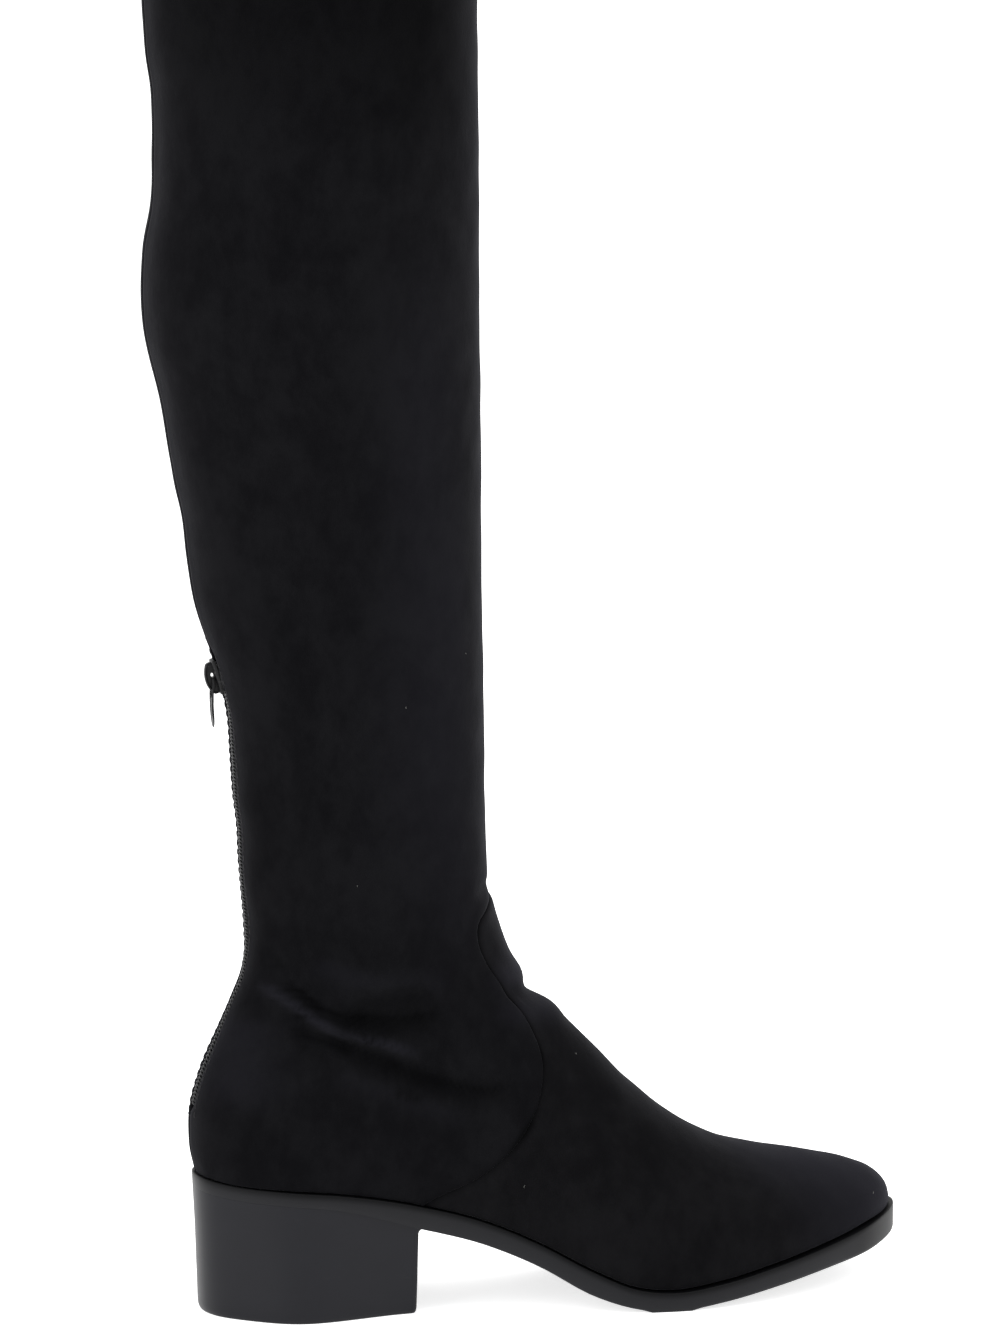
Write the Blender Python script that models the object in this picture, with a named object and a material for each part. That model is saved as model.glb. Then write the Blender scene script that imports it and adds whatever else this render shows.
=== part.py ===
"""Over-the-knee boot for a right foot: block heel, pull-up stretch shaft, short zip at the back.

Frame: +X points to the toe, +Y to the inner (medial) side, +Z up. The origin is on the floor, under the
middle of the heel. All sizes below are millimetres; finished_mesh() turns them into metres. A station
is a distance along the foot, measured from the back of the heel seat.
"""

import math

import bmesh
import bpy
import numpy as np

MM = 0.001
LATERAL = -1.0
MEDIAL = 1.0

# Sole and heel
SOLE_LENGTH = 259.3
HEEL_BREAST = 74.0  # station of the heel's front face
HEEL_CENTRE = HEEL_BREAST / 2  # station of the frame's origin
FEATHER = (0.6, 255.8)  # stations where the upper's lowest edge begins and ends
HEEL_END_RADIUS = 29.0
TOE_END_RADIUS = 15.0
FLAT_SPOT = (153.0, 172.0)  # stations between which the forefoot touches the floor
HEEL_FLARE = 0.06  # how much wider the heel is on the floor than under the sole, as a share
HEEL_BREAST_HALF = (29.0, 25.0)  # half width of the heel's front face under the sole and on the floor
SEAT_GAP = 0.3  # clearance between pieces that touch
FEATHER_GAP = 0.45  # the upper's faceted lower edge needs a little more
SOLE_BEVEL = 0.7
CUTTER_MARGIN = 20.0
SLOT_CUT = 6.0  # reach of the slot's cutter before and behind the upper's back line
SPECK_FACES = 12

# Upper
BOOT_HEIGHT = 590.0
COLLAR_DIP = 5.0  # how much lower the collar is at the back than at the front
WALL = 1.8
SOLE_LEDGE = (1.0, 1.8)  # how far the sole stands out beyond the upper, at the heel and at the ball
DOME_POWER = 2.3  # the higher, the squarer the foot's cross-section
SIDE_BULGE = 0.25
CALF_FULLNESS = 0.10
FEATHER_TUCK = 1.1  # how far the upper draws in where it meets the sole
INSOLE = 3.0
VAMP_STEP = 0.8  # how far the vamp stands proud where it laps over the shaft
VAMP_LIFT = 0.5  # height of the vamp's edge above the feather edge
HEM_DEPTH = 22.0
HEM_STEP = 0.9  # extra wall inside the collar, where the hem is turned in
LEG_BLEND_FROM = 0.40  # share of the way up to the ankle where the foot starts to turn into the leg
CLOSING_BACK = 0.4  # shares of the ring's depth where its sides start to close in on the middle line
CLOSING_FRONT = 0.6
FULL_CALF = (240.0, 340.0)  # heights between which the calf's fullness comes in

# Zip
ZIP_FOOT = 74.0
ZIP_HEAD = 236.0
ZIP_SLOT = 8.0
ZIP_END_GAP = 1.6
CHAIN_WIDTH = 5.6
CHAIN_PROUD = 0.2  # how far the chain stands out beyond the back of the boot
TAPE_GAP = 0.65  # clearance between the tape and the inside of the wall
TAPE_WIDTH = 20.0
TAPE_THICKNESS = 0.7
SLIDER_HEIGHT = 226.5
SLIDER_LENGTH = 10.4
SLIDER_WIDTH = 8.6
SLIDER_PLATE = 1.2
SLIDER_CHAMFER = (0.3, 0.6)  # thickness and length taken off the plate's ends
PLATE_FLOOR = 0.6  # underside of the slider's plate above the back of the boot
CHEEK_THICKNESS = 0.56
CHEEK_FOOT = -1.2  # how deep the cheeks reach beside the chain
BRIDGE_WIDTH = 2.2
BRIDGE_THICKNESS = 1.0
BRIDGE_LEG = 1.1
BRIDGE_INSET = 0.8  # how far the bridge stops short of the plate's ends
BRIDGE_SINK = 0.5  # how far the bridge's legs run into the plate, so that the two join
BRIDGE_SHOULDER = 1.4
PIN_DIAMETER = 1.2
TAB_LENGTH = 18.0
TAB_WIDTH = 5.4
TAB_WINDOW = 6.6
TAB_GAP = 0.5  # clearance beside the bridge inside the tab's window
TAB_TAPER = 0.9
TAB_TIP = 1.6

SOLE_ROWS = [
    # station, lateral, medial: half widths; seat: top of the sole above the floor; thickness
    (0.0, 0.0, 0.0, 50.0, 5.0),
    (11.0, 19.8, 19.8, 48.3, 5.0),
    (27.0, 28.2, 27.8, 47.1, 5.0),
    (47.0, 30.6, 29.2, 45.3, 5.4),
    (63.0, 31.2, 28.6, 42.7, 7.0),
    (74.0, 31.2, 27.8, 40.2, 8.0),
    (97.0, 32.0, 26.0, 33.4, 8.2),
    (117.0, 35.2, 27.2, 24.6, 8.2),
    (135.0, 40.4, 31.2, 14.9, 8.7),
    (149.0, 44.4, 34.6, 8.9, 7.3),
    (163.0, 46.4, 37.2, 7.0, 7.0),
    (181.0, 46.4, 38.0, 8.9, 6.9),
    (203.0, 42.6, 35.2, 13.0, 7.4),
    (225.0, 35.2, 28.2, 17.6, 8.2),
    (244.5, 24.4, 18.8, 22.0, 9.6),
    (259.3, 0.0, 0.0, 25.2, 10.4),
]

SWING_ROWS = [
    # station, offset of the foot's middle line to the medial side
    (0.0, 0.0),
    (80.0, 0.0),
    (130.0, 1.4),
    (170.0, 3.0),
    (215.0, 5.0),
    (259.3, 7.0),
]

RIDGE_ROWS = [
    # station, height: middle line of the upper from the toe up to the front of the ankle
    (254.6, 31.0),
    (250.0, 36.0),
    (242.0, 40.0),
    (228.0, 43.8),
    (206.0, 48.2),
    (187.0, 53.6),
    (171.0, 62.4),
    (156.0, 76.0),
    (142.0, 91.0),
    (129.0, 103.6),
    (119.4, 111.6),
    (114.0, 123.0),
    (108.0, 139.0),
    (104.8, 152.0),
]

BACK_ROWS = [
    # height, station: middle line of the upper up the heel, the calf and the thigh
    (50.0, 0.6),
    (57.5, -1.4),
    (67.0, -1.8),
    (76.0, -0.8),
    (85.0, 1.7),
    (93.5, 5.4),
    (102.5, 9.8),
    (111.0, 13.9),
    (118.0, 17.2),
    (127.0, 18.8),
    (136.0, 19.0),
    (163.0, 16.5),
    (199.0, 14.4),
    (217.0, 11.8),
    (234.5, 7.0),
    (252.0, 1.8),
    (288.0, -3.1),
    (323.0, -9.0),
    (340.0, -13.4),
    (358.0, -15.6),
    (375.0, -15.4),
    (392.0, -12.0),
    (410.0, -11.2),
    (427.0, -11.6),
    (462.0, -14.6),
    (590.0, -23.0),
]

SHIN_ROWS = [
    # height, station: middle line up the front of the leg
    (152.0, 104.8),
    (200.0, 103.5),
    (260.0, 102.7),
    (360.0, 101.9),
    (465.0, 101.3),
    (590.0, 102.4),
]

LEG_WIDTH_ROWS = [
    # height at the back, half width of the leg
    (85.0, 34.0),
    (118.0, 34.0),
    (136.0, 35.4),
    (165.0, 37.2),
    (200.0, 39.4),
    (254.0, 43.6),
    (306.0, 48.4),
    (360.0, 52.4),
    (408.0, 52.6),
    (465.0, 54.2),
    (590.0, 58.0),
]

VAMP_SEAM_ROWS = [
    # height, station: the edge where the vamp laps over the shaft, seen from the side
    (30.0, 62.0),
    (43.0, 80.0),
    (48.5, 93.0),
    (55.0, 102.5),
    (64.0, 110.5),
    (76.0, 117.0),
    (89.0, 119.5),
    (100.0, 116.5),
    (112.0, 108.5),
    (124.0, 100.0),
    (136.0, 95.5),
    (146.0, 97.0),
    (153.0, 104.5),
    (156.0, 112.0),
]


# ---------------------------------------------------------------- curves


def through(rows, column=1):
    """A smooth function through (position, value) rows, with slopes taken from the neighbouring rows."""
    at = np.array([row[0] for row in rows], float)
    value = np.array([row[column] for row in rows], float)
    slope = np.gradient(value, at)

    def curve(position):
        position = np.clip(position, at[0], at[-1])
        k = np.clip(np.searchsorted(at, position, side="right") - 1, 0, len(at) - 2)
        step = at[k + 1] - at[k]
        f = (position - at[k]) / step
        return (
            value[k] * (1 + 2 * f) * (1 - f) ** 2
            + slope[k] * step * f * (1 - f) ** 2
            + value[k + 1] * f * f * (3 - 2 * f)
            + slope[k + 1] * step * f * f * (f - 1)
        )

    return curve


def along(points):
    """A smooth path through points: path(0) is the first, path(1) the last, even steps cover even lengths."""
    points = np.array(points, float)
    reach = np.concatenate([[0], np.cumsum(np.linalg.norm(np.diff(points, axis=0), axis=1))])
    share = reach / reach[-1]
    parts = [through(list(zip(share, points[:, i]))) for i in range(points.shape[1])]
    return lambda t: np.stack([part(t) for part in parts], -1)


def ease(low, high, value):
    """0 below low, 1 above high, and a smooth rise between them."""
    f = np.clip((value - low) / (high - low), 0, 1)
    return f * f * (3 - 2 * f)


# ---------------------------------------------------------------- the last


def rounded_ends(station):
    """The angle round the foot: 0 at the back of the heel, pi at the tip of the toe."""
    return np.arccos(np.clip(1 - 2 * np.asarray(station) / SOLE_LENGTH, -1, 1))


def fullness(column):
    """Half width divided by the sine of that angle, which stays finite at the two round ends."""
    ends = [math.sqrt(r * SOLE_LENGTH / 2) for r in (HEEL_END_RADIUS, TOE_END_RADIUS)]
    rows = [(0.0, ends[0])]
    for row in SOLE_ROWS[1:-1]:
        angle = float(rounded_ends(row[0]))
        rows.append((angle, row[column] / math.sin(angle)))
    rows.append((math.pi, ends[1]))
    return through(rows)


FULLNESS = {LATERAL: fullness(1), MEDIAL: fullness(2)}
SEAT = through(SOLE_ROWS, 3)
SOLE_THICKNESS = through(SOLE_ROWS, 4)
SWING = through(SWING_ROWS)
BACK = through(BACK_ROWS)
SHIN = through(SHIN_ROWS)
LEG_WIDTH = through(LEG_WIDTH_ROWS)
ANKLE_BACK = 136.0


def feather_height(station):
    return SEAT(station) + FEATHER_GAP


TOE_TIP = (FEATHER[1], float(feather_height(FEATHER[1])))
RIDGE = along([TOE_TIP, *RIDGE_ROWS])
RIDGE_LINE = RIDGE(np.linspace(1, 0, 4000))


def sole_half_width(station, side):
    angle = rounded_ends(station)
    return FULLNESS[side](angle) * np.sin(angle)


def sole_bottom(station):
    """Underside of the sole, flat on the floor across the ball."""
    bottom = SEAT(station) - SOLE_THICKNESS(station)
    on_floor = (station > FLAT_SPOT[0]) & (station < FLAT_SPOT[1])
    return np.where(on_floor, 0.0, np.maximum(bottom, 0.0))


def foot_half_width(station, height, side):
    """Half width of the upper over the foot: the sole's outline, bulging a little, domed up to the ridge."""
    heel_lean = (BACK(height) - FEATHER[0]) * (1 - ease(0, 90, station))
    own = (station - heel_lean - FEATHER[0]) / (FEATHER[1] - FEATHER[0])
    angle = rounded_ends(np.clip(own, 0, 1) * SOLE_LENGTH)
    ledge = SOLE_LEDGE[0] + (SOLE_LEDGE[1] - SOLE_LEDGE[0]) * ease(100, 180, station)
    width = (FULLNESS[side](angle) - ledge) * np.sin(angle)
    base = feather_height(station)
    full_rise = np.maximum(np.interp(station, RIDGE_LINE[:, 0], RIDGE_LINE[:, 1]) - base, 0.1)
    rise = np.clip((height - base) / full_rise, 0, 1)
    dome = np.sqrt(1 - rise**DOME_POWER)
    return width * dome * (1 + SIDE_BULGE * rise * (1 - rise))


def leg_half_width(back_height, across):
    """Half width of the leg: an oval that from the calf up is fuller behind than in front."""
    calf = CALF_FULLNESS * ease(*FULL_CALF, back_height)
    oval = np.sqrt(np.clip(1 - across**2, 0, 1)) * (1 - calf * across)
    return LEG_WIDTH(back_height) * oval


def side_view(level, share):
    """Station and height of a ring's points, share 0 at its back and 1 at its front.

    Level 0 is the feather edge, 1 the ankle and 2 the collar.
    """
    if level <= 1:
        feather_station = FEATHER[0] + share * (FEATHER[1] - FEATHER[0])
        feather = np.stack([feather_station, feather_height(feather_station)], -1)
        rise = (1 - level) * feather[0, 1] + level * ANKLE_BACK
        back = np.array([BACK(rise), rise])
        front = RIDGE(level)
        corners = np.array([feather[0], feather[-1]])
        ankle_ends = np.array([[BACK(ANKLE_BACK), ANKLE_BACK], RIDGE_ROWS[-1]])
        f = share[:, None]
        ankle = (1 - f) * ankle_ends[0] + f * ankle_ends[1]
        straight = (1 - level) * corners + level * ankle_ends
        return (
            (1 - level) * feather
            + level * ankle
            + (1 - f) * (back - straight[0])
            + f * (front - straight[1])
        )
    climb = level - 1
    back_height = ANKLE_BACK + climb * (BOOT_HEIGHT - COLLAR_DIP - ANKLE_BACK)
    front_height = RIDGE_ROWS[-1][1] + climb * (BOOT_HEIGHT - RIDGE_ROWS[-1][1])
    back = np.array([BACK(back_height), back_height])
    front = np.array([SHIN(front_height), front_height])
    f = share[:, None]
    return (1 - f) * back + f * front


def upper_ring(level, columns):
    """Points of one ring: back of the heel first, then the lateral side, the front, the medial side."""
    angle = math.pi * np.arange(columns + 1) / columns
    share = (1 - np.cos(angle)) / 2
    side = side_view(level, share)
    station, height = side[:, 0], side[:, 1]
    leg = ease(LEG_BLEND_FROM, 1.0, level)
    middle = SWING(station) * (1 - leg)
    halves = {}
    for hand in (LATERAL, MEDIAL):
        foot = foot_half_width(station, height, hand)
        oval = leg_half_width(height[0], 2 * share - 1)
        width = (1 - leg) * foot + leg * oval
        # both sides close in on the middle line behind and in front
        behind = width[0] ** 2 * ease(CLOSING_BACK, 0.0, share)
        in_front = width[-1] ** 2 * ease(CLOSING_FRONT, 1.0, share)
        width = np.sqrt(np.maximum(width**2 - behind - in_front, 0))
        halves[hand] = np.stack([station, middle + hand * width, height], -1)
    return np.concatenate([halves[LATERAL], halves[MEDIAL][-2:0:-1]])


def outward(grid):
    """Unit normals of a grid of rings; at its two edges they are level, so that the wall ends square."""
    round_ring = np.roll(grid, -1, axis=1) - np.roll(grid, 1, axis=1)
    up = np.gradient(grid, axis=0)
    normal = np.cross(round_ring, up)
    normal[0, :, 2] = 0
    normal[-1, :, 2] = 0
    return normal / np.linalg.norm(normal, axis=2, keepdims=True)


def upper_levels(foot_rings, leg_rings):
    """Ring levels, closer together near the sole and at the collar's hem."""
    foot = (np.arange(foot_rings) / foot_rings) ** 1.25
    collar = 2 - HEM_DEPTH / (BOOT_HEIGHT - ANKLE_BACK)
    leg = np.linspace(1, collar, leg_rings)
    return np.concatenate([foot, leg, [collar + 0.002, 2.0]])


def upper_grid(foot_rings=15, leg_rings=24, columns=20):
    """Outer surface of the upper and its normals, as arrays of rings by columns."""
    levels = upper_levels(foot_rings, leg_rings)
    grid = np.array([upper_ring(level, columns) for level in levels])
    normal = outward(grid)
    grid[0] -= FEATHER_TUCK * normal[0]
    return grid, normal


# ---------------------------------------------------------------- meshes


def finished_mesh(name, points, faces, colour, roughness=0.6, metallic=0.0):
    """An object from points in millimetres, measured from the back of the heel, with its own material."""
    points = (np.asarray(points, float) - [HEEL_CENTRE, 0, 0]) * MM
    mesh = bpy.data.meshes.new(name)
    mesh.from_pydata(points.tolist(), [], [list(map(int, face)) for face in faces])
    work = bmesh.new()
    work.from_mesh(mesh)
    bmesh.ops.recalc_face_normals(work, faces=work.faces)
    work.to_mesh(mesh)
    work.free()
    mesh.shade_smooth()
    mesh.set_sharp_from_angle(angle=math.radians(35))
    mesh.materials.append(material(name, colour, roughness, metallic))
    made = bpy.data.objects.new(name, mesh)
    bpy.context.scene.collection.objects.link(made)
    return made


def material(name, colour, roughness, metallic):
    made = bpy.data.materials.new(name)
    made.use_nodes = True
    shader = made.node_tree.nodes["Principled BSDF"]
    shader.inputs["Base Color"].default_value = (*colour, 1)
    shader.inputs["Roughness"].default_value = roughness
    shader.inputs["Metallic"].default_value = metallic
    return made


def bridge(rings, first, faces):
    """Quads between rings of equal length whose points are numbered from first."""
    count = len(rings[0])
    for i in range(len(rings) - 1):
        for j in range(count):
            a, b = first + i * count + j, first + i * count + (j + 1) % count
            faces.append((a, b, b + count, a + count))


def slab(name, rings, **look):
    """A solid from a stack of rings, closed at both ends by bars from the lateral to the medial side."""
    count = len(rings[0])
    faces = []
    bridge(rings, 0, faces)
    for start in (0, (len(rings) - 1) * count):
        k = 0
        while k + 1 <= count - k - 1:
            bar = [k, k + 1, count - k - 1, (count - k) % count]
            faces.append([start + i for i in dict.fromkeys(bar)])
            k += 1
    return finished_mesh(name, np.concatenate(rings), faces, **look)


def swept(name, sections, **look):
    """A solid from equal closed sections that follow each other, its first and last one filled."""
    count = len(sections[0])
    faces = []
    bridge(sections, 0, faces)
    faces.append(range(count))
    faces.append(range((len(sections) - 1) * count, len(sections) * count))
    return finished_mesh(name, np.concatenate(sections), faces, **look)


def combine(target, other, operation):
    """Applies a Boolean to target and removes the other object."""
    cut = target.modifiers.new(operation.lower(), "BOOLEAN")
    cut.object = other
    cut.operation = operation
    graph = bpy.context.evaluated_depsgraph_get()
    result = bpy.data.meshes.new_from_object(target.evaluated_get(graph))
    target.modifiers.clear()
    target.data = result
    bpy.data.objects.remove(other)
    drop_slivers(target)


def drop_slivers(target):
    """Removes the closed specks that a Boolean can leave where two surfaces nearly meet."""
    work = bmesh.new()
    work.from_mesh(target.data)
    left = set(work.faces)
    while left:
        island = {left.pop()}
        edge_of_island = list(island)
        while edge_of_island:
            face = edge_of_island.pop()
            near = {f for edge in face.edges for f in edge.link_faces} & left
            left -= near
            island |= near
            edge_of_island.extend(near)
        if len(island) < SPECK_FACES:
            bmesh.ops.delete(work, geom=list(island), context="FACES")
    work.to_mesh(target.data)
    work.free()


def inward(ring, distance):
    """A closed ring drawn in by a distance in plan, its heights kept."""
    tangent = np.roll(ring, -1, axis=0) - np.roll(ring, 1, axis=0)
    normal = np.stack([-tangent[:, 1], tangent[:, 0]], -1)
    normal /= np.linalg.norm(normal, axis=1, keepdims=True)
    moved = ring.copy()
    moved[:, :2] += distance * normal
    return moved


# ---------------------------------------------------------------- sole and heel


def sole_outline(stations):
    """The sole's edge in plan, back of the heel first, lateral side next; heights are left at 0."""
    middle = SWING(stations)
    zero = np.zeros_like(stations)
    lateral = np.stack([stations, middle - sole_half_width(stations, LATERAL), zero], -1)
    medial = np.stack([stations, middle + sole_half_width(stations, MEDIAL), zero], -1)
    return lateral, medial


def at_height(ring, heights):
    """The ring with each point at the height that heights(station) gives."""
    placed = ring.copy()
    placed[:, 2] = heights(ring[:, 0])
    return placed


def sole_ring(steps=46):
    stations = SOLE_LENGTH * (1 - np.cos(math.pi * np.arange(steps + 1) / steps)) / 2
    lateral, medial = sole_outline(stations)
    return np.concatenate([lateral, medial[-2:0:-1]])


def make_outsole():
    edge = sole_ring()
    drawn_in = inward(edge, SOLE_BEVEL)
    rings = [
        at_height(drawn_in, SEAT),
        at_height(edge, lambda x: SEAT(x) - SOLE_BEVEL),
        at_height(edge, lambda x: sole_bottom(x) + SOLE_BEVEL),
        at_height(drawn_in, sole_bottom),
    ]
    return slab("outsole", rings, colour=(0.03, 0.03, 0.032), roughness=0.42)


def heel_outline(draw_in, share, steps=18):
    """The heel's outline: round at the back, straight sides, flat breast. Share is 0 under the sole, 1 on the floor."""
    stations = HEEL_BREAST * (1 - np.cos(0.5 * math.pi * np.arange(steps + 1) / steps))
    lateral, medial = sole_outline(stations)
    breast_half = HEEL_BREAST_HALF[0] * (1 - share) + HEEL_BREAST_HALF[1] * share
    sides = []
    for edge in (lateral, medial):
        narrowing = (1 - breast_half / abs(edge[-1, 1])) * ease(30, HEEL_BREAST, stations)
        flare = HEEL_FLARE * share * ease(5, 30, stations)
        width = 1 + flare * (1 - ease(30, HEEL_BREAST, stations)) - narrowing
        sides.append(edge * np.stack([np.ones_like(width), width, width], -1))
    lateral, medial = sides
    ring = inward(np.concatenate([lateral, medial[:0:-1]]), draw_in)
    ring[[steps, steps + 1]] = [
        [HEEL_BREAST, lateral[-1, 1] + draw_in, 0],
        [HEEL_BREAST, medial[-1, 1] - draw_in, 0],
    ]
    return ring


def make_heel_block():
    rings = []
    for share, draw_in in ((0, 0.2), (0.5, 0.5), (0.988, 0.2), (1, 0.7)):
        rings.append(heel_outline(draw_in, share))
        rings[-1][:, 2] = (1 - share) * (sole_bottom(rings[-1][:, 0]) - SEAT_GAP)
    return slab("heel_block", rings, colour=(0.03, 0.03, 0.032), roughness=0.42)


def make_insole():
    """The insole lies on the sole, inside the upper's lowest edge."""
    edge = inward(upper_ring(0, 46), FEATHER_TUCK + WALL + 2 * SEAT_GAP)
    rings = [
        at_height(edge, lambda x: SEAT(x) + SEAT_GAP + INSOLE),
        at_height(edge, lambda x: SEAT(x) + SEAT_GAP),
    ]
    return slab("insole", rings, colour=(0.02, 0.02, 0.02), roughness=0.8)


# ---------------------------------------------------------------- upper


def shell(name, outer, inner):
    """A tube with a wall: outer and inner grids of rings joined at the feather edge and at the collar."""
    rings, columns = outer.shape[:2]
    size = rings * columns
    faces = []
    bridge(outer, 0, faces)
    bridge(inner, size, faces)
    for start in (0, (rings - 1) * columns):
        for j in range(columns):
            a, b = start + j, start + (j + 1) % columns
            faces.append((a, b, b + size, a + size))
    points = np.concatenate([outer.reshape(-1, 3), inner.reshape(-1, 3)])
    return finished_mesh(name, points, faces, colour=(0.009, 0.009, 0.010), roughness=0.9)


def prism(name, outline, half_width):
    """A cutter: an outline of (station, height) points, as wide as given on both sides."""
    outline = np.array(outline, float)
    sides = []
    for y in (-half_width, half_width):
        sides.append(np.insert(outline, 1, y, axis=1))
    return swept(name, sides, colour=(0.5, 0.5, 0.5))


def vamp_outline(steps=24):
    """Side view of all that lies in front of the vamp's edge."""
    seam = along([(station, height) for height, station in VAMP_SEAM_ROWS])(np.linspace(0, 1, steps))
    front = SOLE_LENGTH + CUTTER_MARGIN
    under = -CUTTER_MARGIN
    return [*seam, (front, VAMP_SEAM_ROWS[-1][0]), (front, under), (VAMP_SEAM_ROWS[0][1], under)]


def zip_slot_outline(steps=15):
    heights = np.linspace(ZIP_FOOT, ZIP_HEAD, steps)
    outer = [(BACK(z) - SLOT_CUT, z) for z in heights]
    inner = [(BACK(z) + SLOT_CUT, z) for z in heights[::-1]]
    return outer + inner


def make_upper(grid, normal):
    inner = grid - WALL * normal
    inner[-2:] -= HEM_STEP * normal[-2:]
    upper = shell("upper", grid, inner)
    lifted = grid.copy()
    lifted[0, :, 2] += VAMP_LIFT
    proud = shell("vamp_form", lifted + VAMP_STEP * normal, lifted - 0.5 * WALL * normal)
    combine(proud, prism("vamp_cutter", vamp_outline(), SOLE_LENGTH / 3), "INTERSECT")
    combine(upper, proud, "UNION")
    combine(upper, prism("zip_cutter", zip_slot_outline(), ZIP_SLOT / 2), "DIFFERENCE")
    return upper


# ---------------------------------------------------------------- zip


def back_frame(height):
    """A point on the back line with the directions out of the boot and up along it."""
    step = 0.5
    slope = (BACK(height + step) - BACK(height - step)) / (2 * step)
    up = np.array([slope, 0, 1]) / math.hypot(slope, 1)
    out = np.array([-up[2], 0, up[0]])
    return np.array([BACK(height), 0, height]), out, up


def back_radius(height):
    """Radius of the leg's round back at a height."""
    half_depth = (SHIN(max(height, RIDGE_ROWS[-1][1])) - BACK(height)) / 2
    return LEG_WIDTH(height) ** 2 / half_depth


def zip_section(height):
    """Cross-section of the closed zip: its chain stands in the slot, its tape lies inside the wall."""
    origin, out, _ = back_frame(height)
    radius = back_radius(height) - WALL
    half_tape, half_chain = TAPE_WIDTH / 2, CHAIN_WIDTH / 2
    tape_out = -(WALL + TAPE_GAP)
    tape_in = tape_out - TAPE_THICKNESS

    def place(y, depth):
        return origin + out * (depth - y * y / (2 * radius)) + np.array([0, y, 0])

    corners = [
        (-half_tape, tape_out),
        (-half_chain, tape_out),
        (-half_chain, CHAIN_PROUD),
        (half_chain, CHAIN_PROUD),
        (half_chain, tape_out),
        (half_tape, tape_out),
        (half_tape, tape_in),
        (half_tape / 2, tape_in),
        (0, tape_in),
        (-half_tape / 2, tape_in),
        (-half_tape, tape_in),
    ]
    return np.array([place(y, depth) for y, depth in corners])


def make_zip():
    heights = np.linspace(ZIP_FOOT + ZIP_END_GAP, ZIP_HEAD - ZIP_END_GAP, 28)
    sections = [zip_section(z) for z in heights]
    return swept("zip_chain", sections, colour=(0.012, 0.012, 0.013), roughness=0.5)


def slider_block(corners, half_width):
    """Eight corners of a bar on the slider: corners are (out, up) pairs, seen from the side."""
    origin, out, up = back_frame(SLIDER_HEIGHT)
    sides = []
    for y in (-half_width, half_width):
        sides.append(np.array([origin + out * o + up * u + [0, y, 0] for o, u in corners]))
    return sides


PIN_OUT = PLATE_FLOOR + SLIDER_PLATE + SEAT_GAP + PIN_DIAMETER / 2
BRIDGE_FLOOR = PIN_OUT + PIN_DIAMETER / 2 + SEAT_GAP
ZIP_METAL = {"colour": (0.02, 0.02, 0.022), "roughness": 0.35, "metallic": 0.6}


def mirrored(corners):
    """Closes an outline of (out, up) corners with their mirror images on the other side of up = 0."""
    return corners + [(out, -up) for out, up in corners[::-1]]


def make_slider():
    """The zip's slider: a plate over the chain, cheeks beside it and a bridge that holds the pull tab."""
    half = SLIDER_LENGTH / 2
    plate_top = PLATE_FLOOR + SLIDER_PLATE
    thinner, shorter = SLIDER_CHAMFER
    plate = mirrored([(PLATE_FLOOR, -half), (plate_top - thinner, -half), (plate_top, shorter - half)])
    slider = swept("zip_slider", slider_block(plate, SLIDER_WIDTH / 2), **ZIP_METAL)
    foot = half - BRIDGE_INSET
    sunk = plate_top - BRIDGE_SINK
    crown = BRIDGE_FLOOR + BRIDGE_THICKNESS
    arch = [(sunk, -foot), (BRIDGE_FLOOR, -foot), (crown, BRIDGE_SHOULDER - foot)]
    arch += [(out, -up) for out, up in arch[::-1]]
    arch += mirrored([(sunk, foot - BRIDGE_LEG), (BRIDGE_FLOOR, foot - BRIDGE_LEG)])
    combine(slider, swept("bridge", slider_block(arch, BRIDGE_WIDTH / 2), **ZIP_METAL), "UNION")
    root = (PLATE_FLOOR + thinner, BRIDGE_LEG - half)
    cheek = mirrored([root, (CHEEK_FOOT, BRIDGE_LEG + shorter - half)][::-1])
    for side in (LATERAL, MEDIAL):
        sides = slider_block(cheek, CHEEK_THICKNESS / 2)
        middle = np.array([0, side * (CHAIN_WIDTH + CHEEK_THICKNESS + 2 * SEAT_GAP) / 2, 0])
        combine(slider, swept("cheek", [s + middle for s in sides], **ZIP_METAL), "UNION")
    return slider


def make_pull_tab():
    """The pull tab hangs straight down from its own pin, which lies under the slider's bridge."""
    origin, out, _ = back_frame(SLIDER_HEIGHT)
    pin = origin + out * PIN_OUT
    radius = PIN_DIAMETER / 2
    half_width = TAB_WIDTH / 2
    rail = half_width - BRIDGE_WIDTH / 2 - TAB_GAP
    turn = math.pi * np.arange(12) / 6
    ring = pin + np.stack([radius * np.cos(turn), 0 * turn, radius * np.sin(turn)], -1)
    tab = swept("zip_pull_tab", [ring + [0, y, 0] for y in (-half_width, half_width)], **ZIP_METAL)

    def add_plate(name, middle, half_low, half_high, low, high):
        corners = [(-half_low, low), (half_low, low), (half_high, high), (-half_high, high)]
        faces = [[pin + [x, middle + y, z] for y, z in corners] for x in (-radius, radius)]
        combine(tab, swept(name, np.array(faces), **ZIP_METAL), "UNION")

    for side in (LATERAL, MEDIAL):
        add_plate("rail", side * (half_width - rail / 2), rail / 2, rail / 2, -TAB_WINDOW - TAB_GAP, 0)
    shoulder = half_width - TAB_TAPER
    add_plate("body", 0, shoulder, half_width, TAB_TIP - TAB_LENGTH, -TAB_WINDOW)
    add_plate("tip", 0, shoulder - TAB_TAPER, shoulder, -TAB_LENGTH, TAB_TIP - TAB_LENGTH)
    return tab


# ---------------------------------------------------------------- the boot


def main():
    for old in list(bpy.data.objects):
        bpy.data.objects.remove(old)
    grid, normal = upper_grid()
    make_outsole()
    make_heel_block()
    make_insole()
    make_upper(grid, normal)
    make_zip()
    make_slider()
    make_pull_tab()


main()
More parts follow.
